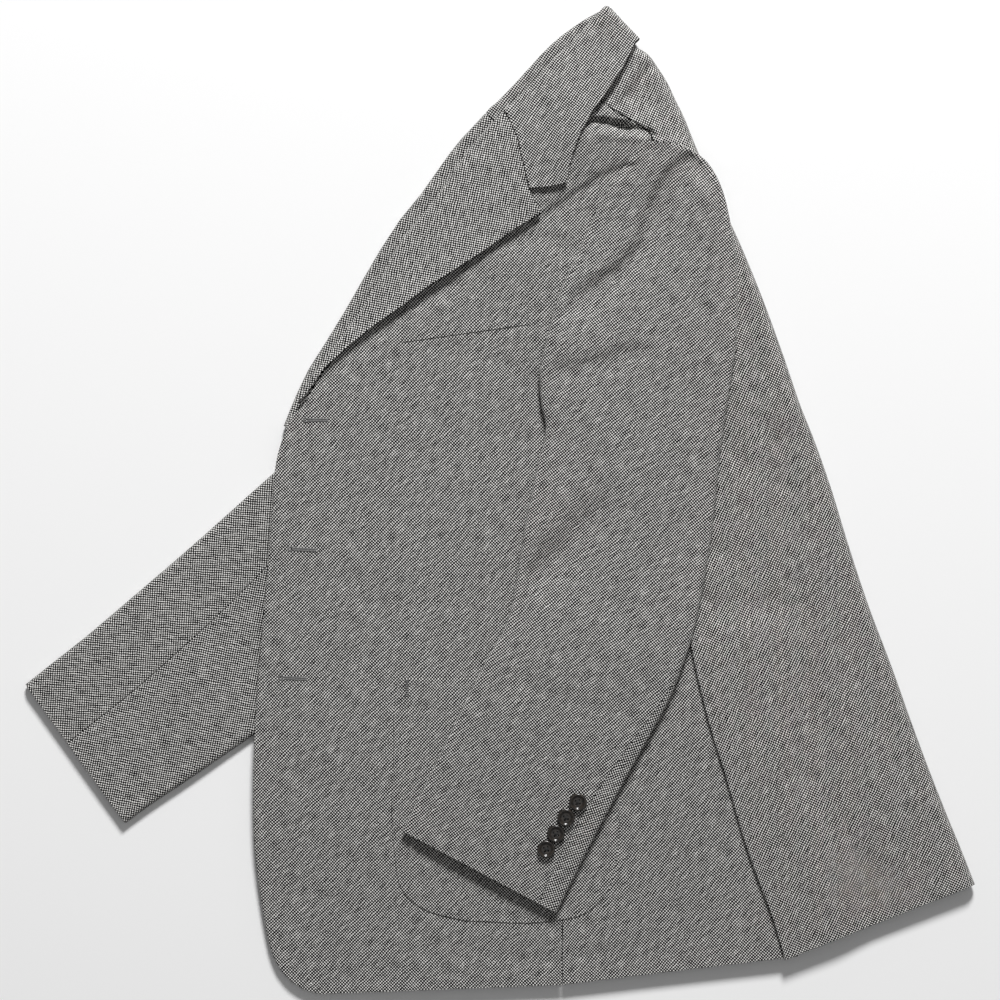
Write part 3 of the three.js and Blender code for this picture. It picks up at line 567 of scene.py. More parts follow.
def fold_over(rows, along, leaf_on_top, leg, upper_steps, lower_steps, top, bottom, fold_side=0):
    """Cloth turned over a roll line (rx, ry): the leaf reaches to its free edge (ex, ey) on one
    side of the roll, and a shorter leg runs on under it or over it"""
    shares = edge_shares(along, 0.25 / along)
    row = straight_rows_at(rows, shares)
    before = straight_rows_at(rows, shares - tangent_step)
    after = straight_rows_at(rows, shares + tangent_step)
    roll = np.stack([row["rx"], row["ry"]], -1)
    tangent = np.stack([after["rx"] - before["rx"], after["ry"] - before["ry"]], -1)
    tangent /= np.linalg.norm(tangent, axis=1)[:, None]
    normal = np.stack([tangent[:, 1], -tangent[:, 0]], -1)
    leaf = np.stack([row["ex"], row["ey"]], -1) - roll
    width = np.linalg.norm(leaf, axis=1)
    leaf = leaf / width[:, None]
    leg_reach = np.minimum(leg, np.maximum(roll_edge + 1, width + 4))
    upward, downward = (leaf, normal) if leaf_on_top else (normal, leaf)
    upper_end, lower_end = (width, leg_reach) if leaf_on_top else (leg_reach, width)
    outer, inner, flat = [], [], []

    def keep(way, distance, z, inset_z, unrolled):
        place = roll + way * distance[:, None]
        outer.append(np.concatenate([place, z[:, None]], 1))
        inner.append(np.concatenate([place, inset_z[:, None]], 1))
        flat.append(roll + unrolled[:, None] * upward)

    upper_place = roll + upward * roll_edge
    lower_place = roll + downward * roll_edge
    upper_z = top(upper_place[:, 0], upper_place[:, 1], 0 * shares, shares)
    lower_z = bottom(lower_place[:, 0], lower_place[:, 1])
    middle, half = (upper_z + lower_z) / 2, (upper_z - lower_z) / 2
    quarter = 0.5 * math.pi * np.sqrt((roll_edge ** 2 + half ** 2) / 2)
    upper_shares = edge_shares(upper_steps, 0.25 / upper_steps)[::-1]
    for s in upper_shares[:-1]:
        distance = roll_edge + (np.maximum(roll_edge + 0.5, upper_end) - roll_edge) * s
        place = roll + upward * distance[:, None]
        z = top(place[:, 0], place[:, 1], distance / upper_end, shares)
        keep(upward, distance, z, z - ply, distance - roll_edge + quarter)
    for angle in range(90, -91, -15):
        rise = math.sin(math.radians(angle))
        way = upward + (downward - upward) * (1 - rise) / 2
        way /= np.linalg.norm(way, axis=1)[:, None]
        for kept, inset in ((outer, 0.0), (inner, ply)):
            distance = roll_edge - (roll_edge - inset) * math.cos(math.radians(angle))
            z = middle + (half - inset) * rise
            kept.append(np.concatenate([roll + way * distance, z[:, None]], 1))
        flat.append(roll + upward * (quarter * angle / 90)[:, None])
    for s in np.linspace(0, 1, lower_steps + 1)[1:]:
        distance = roll_edge + (np.maximum(roll_edge + 0.5, lower_end) - roll_edge) * s
        place = roll + downward * distance[:, None]
        z = bottom(place[:, 0], place[:, 1])
        keep(downward, distance, z, z + ply, -(distance - roll_edge + quarter))
    outer, inner, flat = np.stack(outer, 1), np.stack(inner, 1), np.stack(flat, 1)
    if fold_side:
        base = (outer[-1], inner[-1])
        centre = fold_middle(base[0][0, 1]) + fold_side * seam_gap / 2
        widest = np.abs(base[0][:, 2] - centre).max()
        turned = [[], [], []]
        for angle in (75, 60, 45, 30, 15, 2):
            for kept, points in zip(turned, base):
                height = points[:, 2] - centre
                arm = collar_fold_edge * np.abs(height) / widest * math.cos(math.radians(angle))
                place = points[:, :2] + collar_fold_way * arm[:, None]
                z = centre + height * math.sin(math.radians(angle))
                kept.append(np.concatenate([place, z[:, None]], 1))
            turned[2].append(flat[-1] + collar_fold_way * collar_fold_radius * math.radians(90 - angle))
        outer, inner, flat = (np.concatenate(grids) for grids in zip((outer, inner, flat), turned))
    return outer, inner, flat


def moved_to(rows, roll):
    dx, dy = roll["rx"] - rows["rx"], roll["ry"] - rows["ry"]
    return {"rx": roll["rx"], "ry": roll["ry"], "ex": rows["ex"] + dx, "ey": rows["ey"] + dy}


def right_leg_top(x, y, reach, share):
    return bed(x, y) + ply + lay_gap + loose_gap + ply


lapel_grain = 33
collar_grain = 8
grids = fold_over(moved_to(lapel_rows, right_roll), 80, False, right_roll_leg, 12, 12,
                  right_leg_top, on_floor)
right_facing = cloth_shell("right_facing_cloth", *grids, lapel_grain)
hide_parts("right_facing")
grids = fold_over(moved_to(collar_rows, right_collar_roll), 60, False, right_roll_leg, 12, 12,
                  right_leg_top, on_floor, -1)
right_collar = cloth_shell("right_collar_cloth", *grids, collar_grain)
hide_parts("right_collar")


# Left front, side and back: the upper half of the body, each pressed over the canvas, pads and
# linings inside. The shoulder stands over the hollow behind the collar, and the vent's back edge
# laps over the side panel. The folds are those the cloth has taken where it lies.
rise_share = 0.45
fall_share = 0.5
shoulder_rise = 6.0
shoulder_start = 20
shoulder_width = 60
shoulder_run = 80
neck_start = 12
neck_run = 50
hollow_width = 32.0
collar_bridge = 75.0
deepest = 2.6

body_folds = table(
    "x1 y1 x2 y2 depth width",
    (-5, 222, 62, 240, 1.6, 16),
    (-60, 20, -52, -120, 0.8, 14),
    (236, 50, 236, -40, 1.3, 18),
    (224, -88, 214, 30, 0.9, 14),
    (306, -120, 332, -232, 1.2, 18),
    (182, -40, 196, 54, 1.2, 14),
)


def trough(x1, y1, x2, y2, width, x, y):
    """1 along a line from one end to the other, falling softly to 0 beside it"""
    dx, dy = x2 - x1, y2 - y1
    t = np.clip(((x - x1) * dx + (y - y1) * dy) / (dx * dx + dy * dy), 0, 1)
    away = np.hypot(x - x1 - dx * t, y - y1 - dy * t)
    return np.exp(-((away / width) ** 2))


def fold_depth(folds, x, y):
    depth = 0
    for x1, y1, x2, y2, deep, width in np.stack(list(folds.values()), -1):
        depth = depth + deep * trough(x1, y1, x2, y2, width, x, y)
    return deepest * (1 - np.exp(-depth / deepest))


def creases(lines, x, y):
    """Finer creases: each is (depth, half width to its left, half width to its right) and the points
    it runs through; a ridge is below 0"""
    depth = 0
    for deep, left, right, *points in lines:
        nearest = np.zeros(np.shape(x))
        for (x1, y1), (x2, y2) in zip(points, points[1:]):
            on_left = (x2 - x1) * (y - y1) - (y2 - y1) * (x - x1) > 0
            width = np.where(on_left, left, right)
            nearest = np.maximum(nearest, trough(x1, y1, x2, y2, width, x, y))
        depth = depth + deep * nearest
    return depth


def body_top(x, y):
    front, fold, edge, middle, back = (
        read_smooth(levels, "y", y, column) for column in ("front", "fold", "edge", "middle", "back"))
    across = np.clip((x - front) / (fold - front), 0, 1)
    rise = np.sin(np.radians(90 * np.minimum(1, across / rise_share)))
    fall = smooth((across - fall_share) / (1 - fall_share))
    return edge + (middle - edge) * rise + (back - middle) * fall - fold_depth(body_folds, x, y)


shoulder_ridge = table("x y", (60, 312), (124, 306), (150, 299), (170, 290), (186, 268))


def shoulder(x, y, fade):
    """The shoulder's rise, highest on its ridge and falling to 0 over the given distance above it"""
    below = read(shoulder_ridge, "x", x, "y") - y
    from_fold = read_smooth(levels, "y", y, "fold") - x
    across = smooth((x - shoulder_start) / shoulder_width) * smooth((from_fold + neck_start) / neck_run)
    return shoulder_rise * (1 - smooth(below / shoulder_run)) * smooth(1 + below / fade) * across


stitch_inset = 7.5


front_creases = [
    (1.2, 12, 9, (40, -40), (20, -120), (18, -150)),
    (0.6, 9, 14, (-120, 60), (-60, 40), (10, 56)),
    (0.7, 14, 10, (-96, 20), (-110, -60), (-118, -130)),
    (0.8, 6, 12, (-40, 128), (20, 110), (34, 92)),
    (0.5, 10, 12, (-150, -60), (-90, -90), (-30, -84)),
    (0.5, 10, 12, (-170, -230), (-120, -250), (-98, -262)),
    (0.5, 8, 10, (-60, -376), (20, -384), (120, -378)),
    (2.4, 3, 8, (34, 236), (70, 260), (87, 272), (106, 279)),
    (1.8, 5, 12, (6, 218), (30, 223), (58, 214)),
    (1.6, 5, 7, (-152, 96), (-131, 116), (-100, 142), (-70, 162), (-40, 183)),
    (1.6, 2.2, 2.6, (29, 104), (33, 80), (37, 62), (34, 50)),
    (2.6, 14, 5, (160, 286), (142, 271), (130, 246), (120, 214), (102, 193), (66, 170)),
    (2.0, 8, 14, (30, -60), (50, -46), (66, -20)),
    (0.25, 1.2, 1.2, (-49, 118), (-52, 60), (-56, -60), (-58, -148)),
    (1.3, 3.5, 3, (158, -123), (172, -183), (188, -235), (202, -283), (215, -320), (227, -352), (236, -380)),
    (0.35, 1.3, 1.3, *[(x + stitch_inset, y) for x, y in (
        (-192, -379), (-199, -340), (-205, -290), (-207, -235), (-205, -180), (-200, -115), (-195, -60),
        (-191, -5), (-188, 30), (-182, 52), (-176, 68))]),
]
neck_creases = [
    (7.5, 2.2, 6, (62, 319), (74, 318), (90, 316.5), (104, 313.5)),
    (3.6, 2.2, 5, (100, 314), (114, 311), (126, 307.5)),
    (-1.4, 4, 4, (84, 305), (116, 302), (142, 297), (166, 286)),
    (2.8, 3, 4, (114, 380), (108, 366), (96, 346), (80, 326)),
    (-1.2, 3, 4, (122, 372), (110, 350), (94, 332)),
    (1.8, 3.5, 4, (128, 366), (114, 346), (102, 330)),
]
back_creases = [
    (2.0, 9, 6, (185, 50), (196, 36), (207, 26)),
    (1.5, 5, 8, (178, -40), (192, -46)),
    (1.6, 5, 6, (172, -84), (182, -96)),
    (1.2, 12, 9, (240, -60), (262, -130), (270, -190)),
    (1.3, 16, 12, (250, -230), (290, -290), (320, -318)),
    (1.2, 12, 8, (205, 150), (214, 90), (222, 60)),
    (1.5, 12, 8, (236, 48), (246, 0), (246, -30)),
    (-0.8, 12, 12, (268, -120), (296, -190), (330, -250)),
    (1.2, 8, 14, (212, -90), (238, -84), (256, -92)),
]
def front_top(x, y):
    pressed = creases(front_creases + neck_creases, x, y)
    return body_top(x, y) + shoulder(x, y, hollow_width) - pressed


left_front_rows = table(
    panel_columns,
    (-151, -415, 52, -407),
    (-166, -410.5, 52, -402),
    (-181, -399, 52, -391),
    (-192, -379, 52, -371),
    (-200, -340, 53, -335),
    (-206, -290, 54, -290),
    (-207, -235, 57, -230),
    (-205, -180, 60, -170),
    (-200, -115, 64, -110),
    (-195, -60, 70, -55),
    (-191, -5, 76, 5),
    (-188, 30, 77, 42),
    (-182, 52, 72, 72),
    (-174, 70, 66, 94),
    (-164, 80, 62, 110),
    (-154, 98, 58, 130),
    (-140, 118, 52, 154),
    (-123, 141, 54, 172),
    (-105, 167, 64, 200),
    (-89, 193, 77, 228),
    (-75, 219, 90, 253),
    (-56, 242, 108, 281),
    (-37, 266, 124, 300),
    (-18, 292, 124, 307.4),
    (-4, 311, 111.6, 315.4),
    (11, 324, 96.7, 324.5),
    (28, 334, 84.6, 333.5),
)
vent_top = -123
vent_lap = 30
vent_edge = {"y": back_rows["ly"][:7], "x": back_rows["lx"][:7]}
vent_run = 45


def vent_lift(x, y):
    inside = x - read(vent_edge, "y", y, "x")
    along = smooth((vent_top + vent_run - y) / vent_run)
    return (ply + lay_gap + loose_gap) * (1 - smooth((inside - 1.5 * vent_lap) / vent_run)) * along


def back_top(x, y):
    lifted = body_top(x, y) + shoulder(x, y, hollow_width) + vent_lift(x, y)
    return lifted - creases(back_creases + neck_creases, x, y)


left_front_grids = panel(left_front_rows, 84, 230, front_top, -ply, close=(3.5, 5.5, 6.7, 7.5, 8.3, 9.5))
left_front = cloth_shell("left_front_cloth", *left_front_grids, 0)
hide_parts("left_front")
left_side_rows = dict(side_rows, rx=side_rows["rx"] + np.where(side_rows["ry"] < vent_top, vent_lap, 0))
left_side_rows["rx"][:2] = (250, 256)
left_side_rows["ry"] = np.concatenate([(-383.2, -352), side_rows["ry"][2:]])
left_side = cloth_shell("left_side_cloth", *panel(left_side_rows, 44, 120, front_top, -ply), 4)
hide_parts("left_side")
left_back = cloth_shell("left_back_cloth", *panel(back_rows, 52, 260, back_top, -ply, 1), back_grain)
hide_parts("left_back")


# Inside of the coat: chest canvas, shoulder pads, linings and the turned-up hems, pressed together.
# Only their layered edges could ever be seen between the two halves of the body.
core_gap = 0.9
core_rows = table(
    panel_columns,
    (-148, -388, 366, -300),
    (-170, -345, 350, -262),
    (-174, -280, 330, -215),
    (-172, -200, 308, -160),
    (-166, -120, 286, -100),
    (-158, -40, 262, -30),
    (-148, 30, 238, 35),
    (-108, 92, 216, 100),
    (-74, 145, 198, 150),
    (-44, 195, 182, 200),
    (-10, 240, 166, 245),
    (20, 280, 152, 280),
    (50, 310, 136, 312),
    (76, 338, 116, 345),
)
shares = np.linspace(0, 1, 61)
row = rows_at(core_rows, shares)
steps = np.linspace(0, 1, 41)
x = row["lx"][:, None] + (row["rx"] - row["lx"])[:, None] * steps
y = row["ly"][:, None] + (row["ry"] - row["ly"])[:, None] * steps
near = ((0, 0), (10, 0), (-10, 0), (0, 10), (0, -10))
floor_z = np.max([bed(x + dx, y + dy) for dx, dy in near], 0) + ply + core_gap
roof_z = np.min([back_top(x + dx, y + dy) for dx, dy in near] + [front_top(x, y)], 0) - ply - core_gap
middle, half = (floor_z + roof_z) / 2, np.maximum(0.4, (roof_z - floor_z) / 2)
half[[0, -1], :] *= 0.6
half[:, [0, -1]] *= 0.6
roof, floor = np.stack([x, y, middle + half], -1), np.stack([x, y, middle - half], -1)
inside = cloth_shell("inside_layers", roof, floor, np.stack([x, y], -1), 45, rims=5)
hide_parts("folded_inside")


# Left lapel and collar: the facing rolls over the left front from the break to the notch, and the
# collar rolls over its stand to its fold at the centre back. Both leaves are two plies, bagged out
# and pressed, and they spring up a little between the roll and the free edge.
gorge_share = 0.8
lapel_spring = 4.4
collar_spring = 1.5
roll_leg = 13


def on_lapel(x, y):
    return front_top(x, y) + lay_gap + ply


def lapel_top(x, y, reach, share):
    along = np.sin(np.radians(180 * np.clip(share / gorge_share, 0, 1)))
    return on_lapel(x, y) + lapel_spring * along * reach * reach


def under_roll(x, y):
    return front_top(x, y) - ply - lay_gap - ply


def collar_top(x, y, reach, share):
    lift = collar_spring * reach * smooth(share / (1 - gorge_share))
    return body_top(x, y) + shoulder(x, y, collar_bridge) + lay_gap + ply + lift


grids = fold_over(lapel_rows, 110, True, roll_leg, 26, 3, lapel_top, under_roll)
left_facing = cloth_shell("left_facing_cloth", *grids, lapel_grain)
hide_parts("left_facing")
grids = fold_over(collar_rows, 80, True, roll_leg, 26, 3, collar_top, under_roll, 1)
left_collar = cloth_shell("left_collar_cloth", *grids, collar_grain)
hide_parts("left_collar")


# Breast welt and hip patch pocket: the welt is a strip of cloth sewn over the breast pocket's
# mouth; the patch pocket is one ply with a turned hem at its mouth, sewn on round three sides.
welt_rows = table(panel_columns, (-82, 132, 25, 147), (-82, 158, 25, 179))
pocket_rows = table(
    panel_columns,
    (-29, -353, 24, -355),
    (-51, -348, 52, -352),
    (-68, -341, 73, -346),
    (-83, -326, 90, -329),
    (-88, -302, 97, -304),
    (-91, -261, 100, -277),
    (-89, -208, 101, -235),
    (-89, -180, 101, -190),
    (-86, -150, 101, -149),
)
pressed_ply = 0.6
pocket_gap = 0.1


def on_front(x, y):
    return front_top(x, y) + pocket_gap + pressed_ply


breast_welt = cloth_shell("breast_welt_cloth", *panel(welt_rows, 60, 16, on_front, -pressed_ply), 0)
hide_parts("breast_welt")
patch_pocket = cloth_shell("patch_pocket_cloth", *panel(pocket_rows, 64, 76, on_front, -pressed_ply), 0)
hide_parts("left_patch_pocket")


# Sewing on the left half: pick stitches beside the front edge, three worked buttonholes with an
# eyelet at the edge end, one more through the lapel, and the bar tack at the pocket's mouth.
def two_toned(name, pattern, sizes, dark, light, surface):
    """A finish that a pattern turns from one tone to the other; a tone is its place and its colour"""
    finish, nodes, links, shader = new_finish(name)
    texture = nodes.new(pattern)
    set_inputs(texture, sizes)
    tones = nodes.new("ShaderNodeValToRGB")
    for element, (place, *colour) in zip(tones.color_ramp.elements, (dark, light)):
        element.position = place
        element.color = (*colour, 1)
    links.new(nodes.new("ShaderNodeTexCoord").outputs["Object"], texture.inputs["Vector"])
    links.new(texture.outputs["Fac"], tones.inputs["Fac"])
    links.new(tones.outputs["Color"], shader.inputs["Base Color"])
    set_inputs(shader, surface)
    return finish


def spun(name, dark, light):
    """A twisted thread: fine bands of two tones along it"""
    return two_toned(name, "ShaderNodeTexWave", {"Scale": 900, "Distortion": 1.5},
                     (0, dark, dark, dark), (1, light, light, light), {"Roughness": 0.8})


grey_twist = spun("grey_twist", 0.08, 0.3)


def strand(points, thick, sides=8):
    """Points and faces of a short thread through the given points"""
    points = np.array(points, float)
    found, faces = [], []
    for k, point in enumerate(points):
        way = points[min(k + 1, len(points) - 1)] - points[max(k - 1, 0)]
        way /= np.linalg.norm(way)
        side = np.cross(way, (0.02, 0.03, 1))
        side /= np.linalg.norm(side)
        up = np.cross(side, way)
        for s in range(sides):
            turn = 2 * math.pi * s / sides
            found.append(point + thick * (side * math.cos(turn) + up * math.sin(turn)))
    for k in range(len(points) - 1):
        for s in range(sides):
            a, b = k * sides + s, k * sides + (s + 1) % sides
            faces.append((a, b, b + sides, a + sides))
    faces.append(tuple(range(sides))[::-1])
    faces.append(tuple((len(points) - 1) * sides + s for s in range(sides)))
    return found, faces


def threads(name, strands, finish):
    """One mesh of many short threads, sizes in millimetres"""
    points, faces = [], []
    for found, made in strands:
        faces += [tuple(len(points) + k for k in face) for face in made]
        points += [tuple(p) for p in found]
    piece = add_piece(name, points, faces)
    piece.data.materials.append(finish)
    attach(piece, "root")
    return piece


def along_line(points, step):
    """Evenly spaced places on a line through the given points, with the line's direction there"""
    points = np.array(points, float)
    lengths = np.linalg.norm(np.diff(points, axis=0), axis=1)
    run = np.concatenate([[0], np.cumsum(lengths)])
    at = np.arange(0.5 * step, run[-1], step)
    place = np.stack([np.interp(at, run, points[:, 0]), np.interp(at, run, points[:, 1])], -1)
    leg = np.clip(np.searchsorted(run, at) - 1, 0, len(lengths) - 1)
    return place, (np.diff(points, axis=0) / lengths[:, None])[leg]


def laid_thread(line, rises, on, thick):
    """A thread along a line on the cloth, lifted off it by a rise at each point"""
    return strand([(x, y, float(on(x, y)) + rise) for (x, y), rise in zip(line, rises)], thick, 5)


def pick_stitches(points, on, step=5.0, length=1.3):
    made = []
    for (x, y), (dx, dy) in zip(*along_line(points, step)):
        line = [(x + dx * t * length / 2, y + dy * t * length / 2) for t in (-1, -0.5, 0.5, 1)]
        made.append(laid_thread(line, (-0.15, 0.12, 0.12, -0.15), on, 0.16))
    return made


def buttonhole(eye, end, on):
    """Stitches side by side round a slit, with an eyelet at one end and a bar at the other"""
    eye, end = np.array(eye, float), np.array(end, float)
    length = np.linalg.norm(end - eye)
    way = (end - eye) / length
    side = np.array([-way[1], way[0]])
    starts = []
    for t in np.arange(2.4, length, 0.55):
        starts += [(eye + way * t + side * sign * 0.25, side * sign) for sign in (-1, 1)]
    for turn in np.radians(np.arange(35, 326, 20)):
        out = way * math.cos(turn) + side * math.sin(turn)
        starts.append((eye + out * 1.1, out))
    made = []
    for start, out in starts:
        line = [start + out * 1.25 * t for t in (0, 0.3, 0.75, 1)]
        made.append(laid_thread(line, (0.1, 0.42, 0.36, -0.05), on, 0.24))
    for t in (0, 0.45, 0.9):
        line = [end + way * t + side * u for u in (-1.6, -0.8, 0.8, 1.6)]
        made.append(laid_thread(line, (0, 0.45, 0.45, 0), on, 0.28))
    slit = [eye + way * t for t in np.linspace(1.0, length - 0.3, 9)]
    made.append(laid_thread(slit, [0.02] * len(slit), on, 0.2))
    return made


front_line = [(x + stitch_inset, y)
              for x, y in zip(left_front_rows["lx"][3:13], left_front_rows["ly"][3:13])]
sewn = pick_stitches([(-140, -407.5), (-160, -403.5), (-173, -394), (-182, -378)] + front_line[1:], front_top)
for eye, end in (((-163, 67), (-145, 67)), ((-175.5, -41), (-155, -42)), ((-183.5, -149), (-163, -150))):
    sewn += buttonhole(eye, end, front_top)
sewn += buttonhole((2, 246), (-11, 239), on_lapel)
for k in range(9):
    line = [(x, -151 - k * 1.6) for x in (-79.6, -78.8, -77.2, -76.4)]
    sewn.append(laid_thread(line, (0.7, 1.15, 1.15, 0.7), front_top, 0.32))
threads("front_sewing", sewn, grey_twist)


# Left sleeve: top and under sleeve sewn to a tube, set into the armhole over a pad, and laid flat
# down the coat. Its back seam shows above the cuff vent, and it creases at the shoulder and elbow.
left_sleeve_rows = table(
    "hx hy fx fy height seam lift",
    (150, 297, 120, 300, 4.6, -8, 0),
    (167, 288, 107, 283, 5, -8, 0),
    (178, 276, 96, 268, 5.4, -8, 0),
    (187, 256, 85, 250, 6, -8, 0),
    (193, 230, 74, 227, 6.6, -8, 0),
    (198, 200, 63, 203, 7, -8, 0),
    (199, 170, 50, 175, 7.3, -8, 0),
    (198, 135, 40, 140, 7.5, -8, 0),
    (194, 104, 33, 108, 7.5, -8, 0),
    (190, 78, 34, 82, 7.5, -8, 0),
    (186, 52, 38, 58, 7.5, -8, 0),
    (182, 16, 30, 25, 7.5, -8, 0),
    (178, -22, 21, -20, 7.5, -8, 0.2),
    (171, -66, 14, -62, 7.5, -8, 1),
    (163, -106, 6, -101, 7.5, -6, 2.2),
    (153, -138, -12, -134, 7.5, -1, 2.6),
    (141, -168, -30, -170, 7.2, 6, 2.6),
    (123, -201, -46, -203, 6.8, 12, 2.6),
    (103, -237, -60, -232, 6.2, 17, 2.6),
    (76, -288, -71, -254, 5.6, 19, 2.7),
    (47, -346, -82, -277, 5.2, 17, 2.8),
)
sleeve_creases = [
    (3.0, 18, 6, (158, 285), (140, 270), (128, 245), (118, 213), (101, 192), (64, 168)),
    (-0.8, 8, 10, (150, 290), (124, 262), (112, 226), (98, 204), (70, 186)),
    (2.0, 5, 16, (40, 107), (62, 110), (84, 116), (108, 125)),
    (-0.6, 9, 9, (44, 122), (80, 128), (112, 138)),
    (3.2, 17, 26, (12, -62), (40, -58), (60, -42), (76, -16)),
    (1.2, 12, 20, (50, -50), (74, -68), (96, -90)),
    (-1.0, 12, 12, (16, -24), (44, -18), (62, 8)),
    (0.7, 12, 9, (150, -20), (120, -60), (104, -110)),
    (0.8, 8, 16, (20, -150), (60, -170), (96, -176)),
    (-0.5, 9, 9, (150, 60), (120, 20), (104, -20)),
]


left_front_lap = 14
crown_drop = 0.12
side_share = 0.06
head_height = 4


def sleeve_seat(x, y, row):
    return front_top(x, y) + lay_gap + row["lift"]


def sleeve_top(x, y, row, across):
    """The sleeve's face, creased between its sides and thinner toward the front of the sleeve head"""
    crown = 1 - crown_drop * (2 * across - 1) ** 2
    inside = smooth(across / side_share) * smooth((1 - across) / side_share)
    at_head = smooth((y - 130) / 60) * smooth((across - 0.55) / 0.45)
    depth = creases(sleeve_creases, x, y) * inside + (row["height"] - head_height) * at_head
    deepest_there = np.maximum(0.2, row["height"] - 2 * ply - 0.3)
    return sleeve_seat(x, y, row) + row["height"] * crown - np.minimum(depth, deepest_there)


def left_top_arcs(row, curve, level):
    start = row["seam"] + curve - sleeve_edge
    end = 2 * curve + level
    hind = [start, start + 0.8]
    hind += [max(start + 0.8 + 0.5 * k, curve * k / 10) for k in range(1, 11)]
    over = list(np.linspace(hind[-1], curve + level, 43)[1:])
    front = list(np.linspace(curve + level, end, 11)[1:])
    return hind + over + front + list(np.linspace(end, end + left_front_lap * 0.7, 4)[1:])


def left_under_arcs(row, curve, level):
    start = row["seam"] + curve - sleeve_edge - sewn_gap
    hind = [start, start - 0.8]
    hind += [min(start - 0.8 - 0.5 * k, curve * (1 - k / 10)) for k in range(1, 11)]
    return hind + list(np.linspace(hind[-1], -(level - left_front_lap), 15)[1:])


sleeve_grain = -6
grids = flat_sleeve(left_sleeve_rows, 180, left_top_arcs, sleeve_top, sleeve_seat)
left_top_sleeve = cloth_shell("left_top_sleeve_cloth", *grids, sleeve_grain)
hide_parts("left_top_sleeve")
under_rows = {name: values[4:] for name, values in left_sleeve_rows.items()}
grids = flat_sleeve(under_rows, 144, left_under_arcs, sleeve_top, sleeve_seat)
left_under_sleeve = cloth_shell("left_under_sleeve_cloth", *grids, sleeve_grain - 20)
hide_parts("left_under_sleeve")


# Cuff buttons: four turned horn buttons with a raised rim, a dished face and four holes, each sewn
# through to the sleeve with a crossed thread.
button_width = 15.0
button_height = 3.2
button_turn = 12
hole_radius = 0.85
hole_offset = 2.1
button_places = table("x y", (65, -252.4), (55.2, -265.4), (46.7, -278.9), (38.6, -291.8))
button_profile = [
    (0, 0), (0.28, 0), (0.36, 0.08), (0.43, 0.25), (0.478, 0.45), (0.497, 0.62), (0.494, 0.78), (0.47, 0.92),
    (0.44, 0.99), (0.41, 1), (0.38, 0.97), (0.35, 0.88), (0.325, 0.76), (0.29, 0.68), (0.22, 0.63), (0, 0.62),
]

horn = two_toned("button_horn", "ShaderNodeTexNoise", {"Scale": 420, "Detail": 3},
                 (0.35, 0.006, 0.005, 0.005), (0.75, 0.035, 0.027, 0.02),
                 {"Roughness": 0.2, "Coat Weight": 0.25, "Coat Roughness": 0.08})
black_thread = spun("black_thread", 0.004, 0.03)


def lathe(name, profile, turns):
    """A turned solid from its profile, radius and height, from one end of the axis to the other"""
    angles = np.linspace(0, 2 * math.pi, turns, endpoint=False)
    points = [(0, 0, profile[0][1])]
    for r, z in profile[1:-1]:
        points += [(r * math.cos(a), r * math.sin(a), z) for a in angles]
    points.append((0, 0, profile[-1][1]))
    rings = len(profile) - 2
    faces = []
    for k in range(turns):
        following = (k + 1) % turns
        faces.append((0, 1 + following, 1 + k))
        faces.append((len(points) - 1, 1 + (rings - 1) * turns + k, 1 + (rings - 1) * turns + following))
        for ring in range(rings - 1):
            low, high = 1 + ring * turns, 1 + (ring + 1) * turns
            faces.append((low + k, low + following, high + following, high + k))
    return add_piece(name, points, faces)


def hole_way(h):
    turn = math.radians(45 + 90 * h + button_turn)
    return np.array([math.cos(turn), math.sin(turn)])


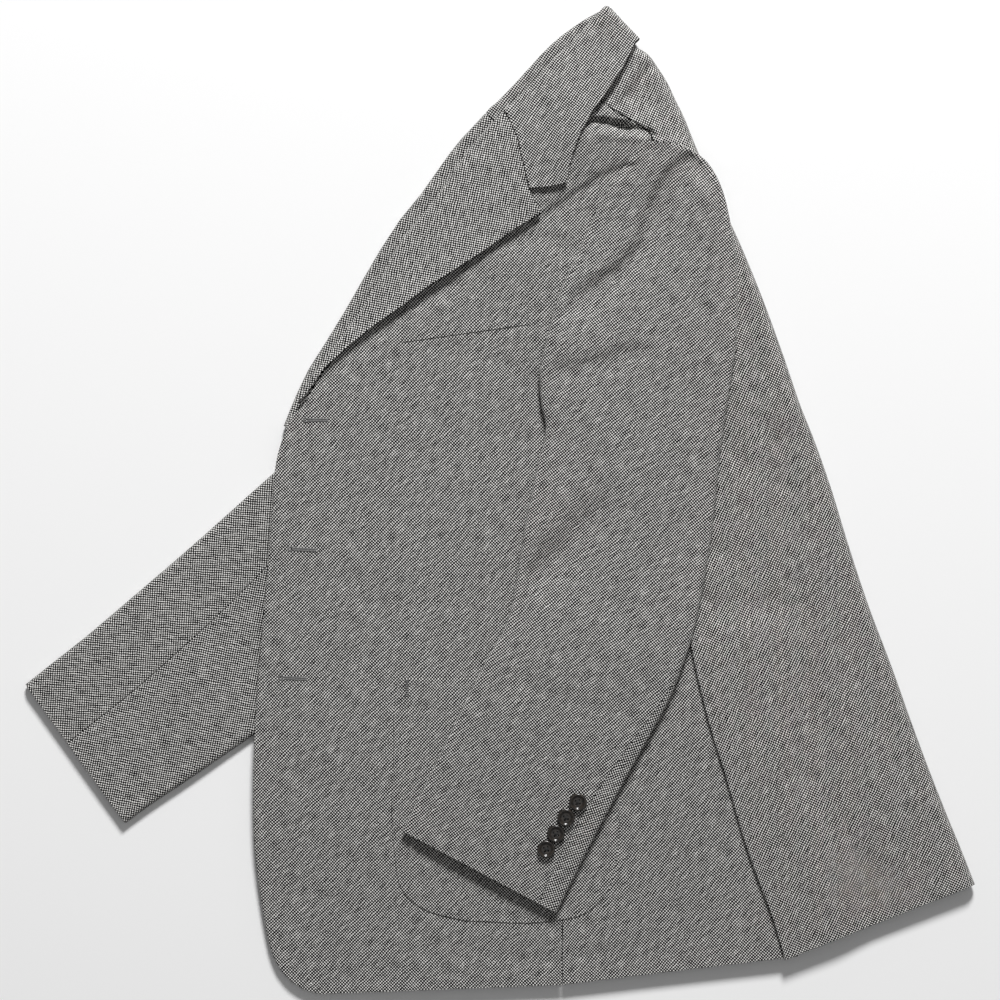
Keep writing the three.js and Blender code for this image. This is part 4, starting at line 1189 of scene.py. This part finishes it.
for k in range(4):
    bx, by = button_places["x"][k], button_places["y"][k]
    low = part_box(f"cuff_button_{k + 1}")[0]
    profile = [(r * button_width, z * button_height) for r, z in button_profile]
    button = lathe(f"cuff_button_{k + 1}_horn", profile, 56)
    drills = []
    for h in range(4):
        drill = lathe(f"hole_{k}_{h}", [(0, -1), (hole_radius, -1), (hole_radius, 5), (0, 5)], 14)
        drill.location = (*hole_way(h) * hole_offset * 0.001, 0)
        cut = button.modifiers.new("hole", "BOOLEAN")
        cut.operation = "DIFFERENCE"
        cut.object = drill
        cut.solver = "EXACT"
        drills.append(drill)
    bpy.context.view_layer.update()
    drilled = bpy.data.meshes.new_from_object(button.evaluated_get(bpy.context.evaluated_depsgraph_get()))
    button.modifiers.clear()
    for drill in drills:
        bpy.data.objects.remove(drill)
    for vertex in drilled.vertices:
        vertex.co += Vector((bx * 0.001, by * 0.001, low.z))
    button.data = drilled
    drilled.shade_smooth()
    drilled.set_sharp_from_angle(angle=math.radians(40))
    drilled.materials.clear()
    drilled.materials.append(horn)
    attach(button, "root")
    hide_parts(f"cuff_button_{k + 1}")
    face_z = low.z * 1000 + button_height * 0.62
    crossed = []
    for h in range(2):
        wx, wy = hole_way(h)
        for side in (-0.3, 0.3):
            line = [(bx + wx * hole_offset * s - wy * side, by + wy * hole_offset * s + wx * side,
                     face_z - 1.4 + 2.0 * (1 - s * s) ** 0.5 + 0.25 * h)
                    for s in (-1, -0.97, -0.85, -0.6, 0, 0.6, 0.85, 0.97, 1)]
            crossed.append(strand(line, 0.3))
    threads(f"cuff_button_{k + 1}_thread", crossed, black_thread)


# Photograph's stage: the coat lies on a plain pale floor under soft light from above its collar,
# and the camera looks straight down.
bpy.ops.mesh.primitive_plane_add(size=12, location=(0, 0, -0.0006))
stage_floor = bpy.context.object
stage_floor.name = "stage_floor"
paper, *_, paper_shader = new_finish("pale_floor")
set_inputs(paper_shader, {"Base Color": (0.9, 0.9, 0.9, 1), "Roughness": 0.9})
stage_floor.data.materials.append(paper)


def soft_light(name, place, size, power):
    lamp = bpy.data.lights.new(name, "AREA")
    lamp.shape = "DISK"
    lamp.size = size
    lamp.energy = power
    made = bpy.data.objects.new(name, lamp)
    made.location = place
    made.rotation_mode = "QUATERNION"
    made.rotation_quaternion = (-Vector(place)).to_track_quat("-Z", "Y")
    bpy.context.collection.objects.link(made)


soft_light("key", (0.5, 4.3, 3.1), 1.3, 370)
soft_light("fill", (0.2, -0.4, 2.6), 2.2, 5)
sky = bpy.data.worlds.new("studio")
sky.use_nodes = True
set_inputs(sky.node_tree.nodes["Background"], {"Color": (1, 1, 1, 1), "Strength": 0.18})
bpy.context.scene.world = sky
bpy.context.scene.view_settings.view_transform = "Standard"

camera_height = 3.0
coat_middle = 0.007
picture_width = 0.84
camera_data = bpy.data.cameras.new("camera")
camera_data.sensor_width = 36
camera_data.lens = 36 * (camera_height - coat_middle) / picture_width
camera = bpy.data.objects.new("camera", camera_data)
camera.location = (0, 0, camera_height)
bpy.context.collection.objects.link(camera)
bpy.context.scene.camera = camera
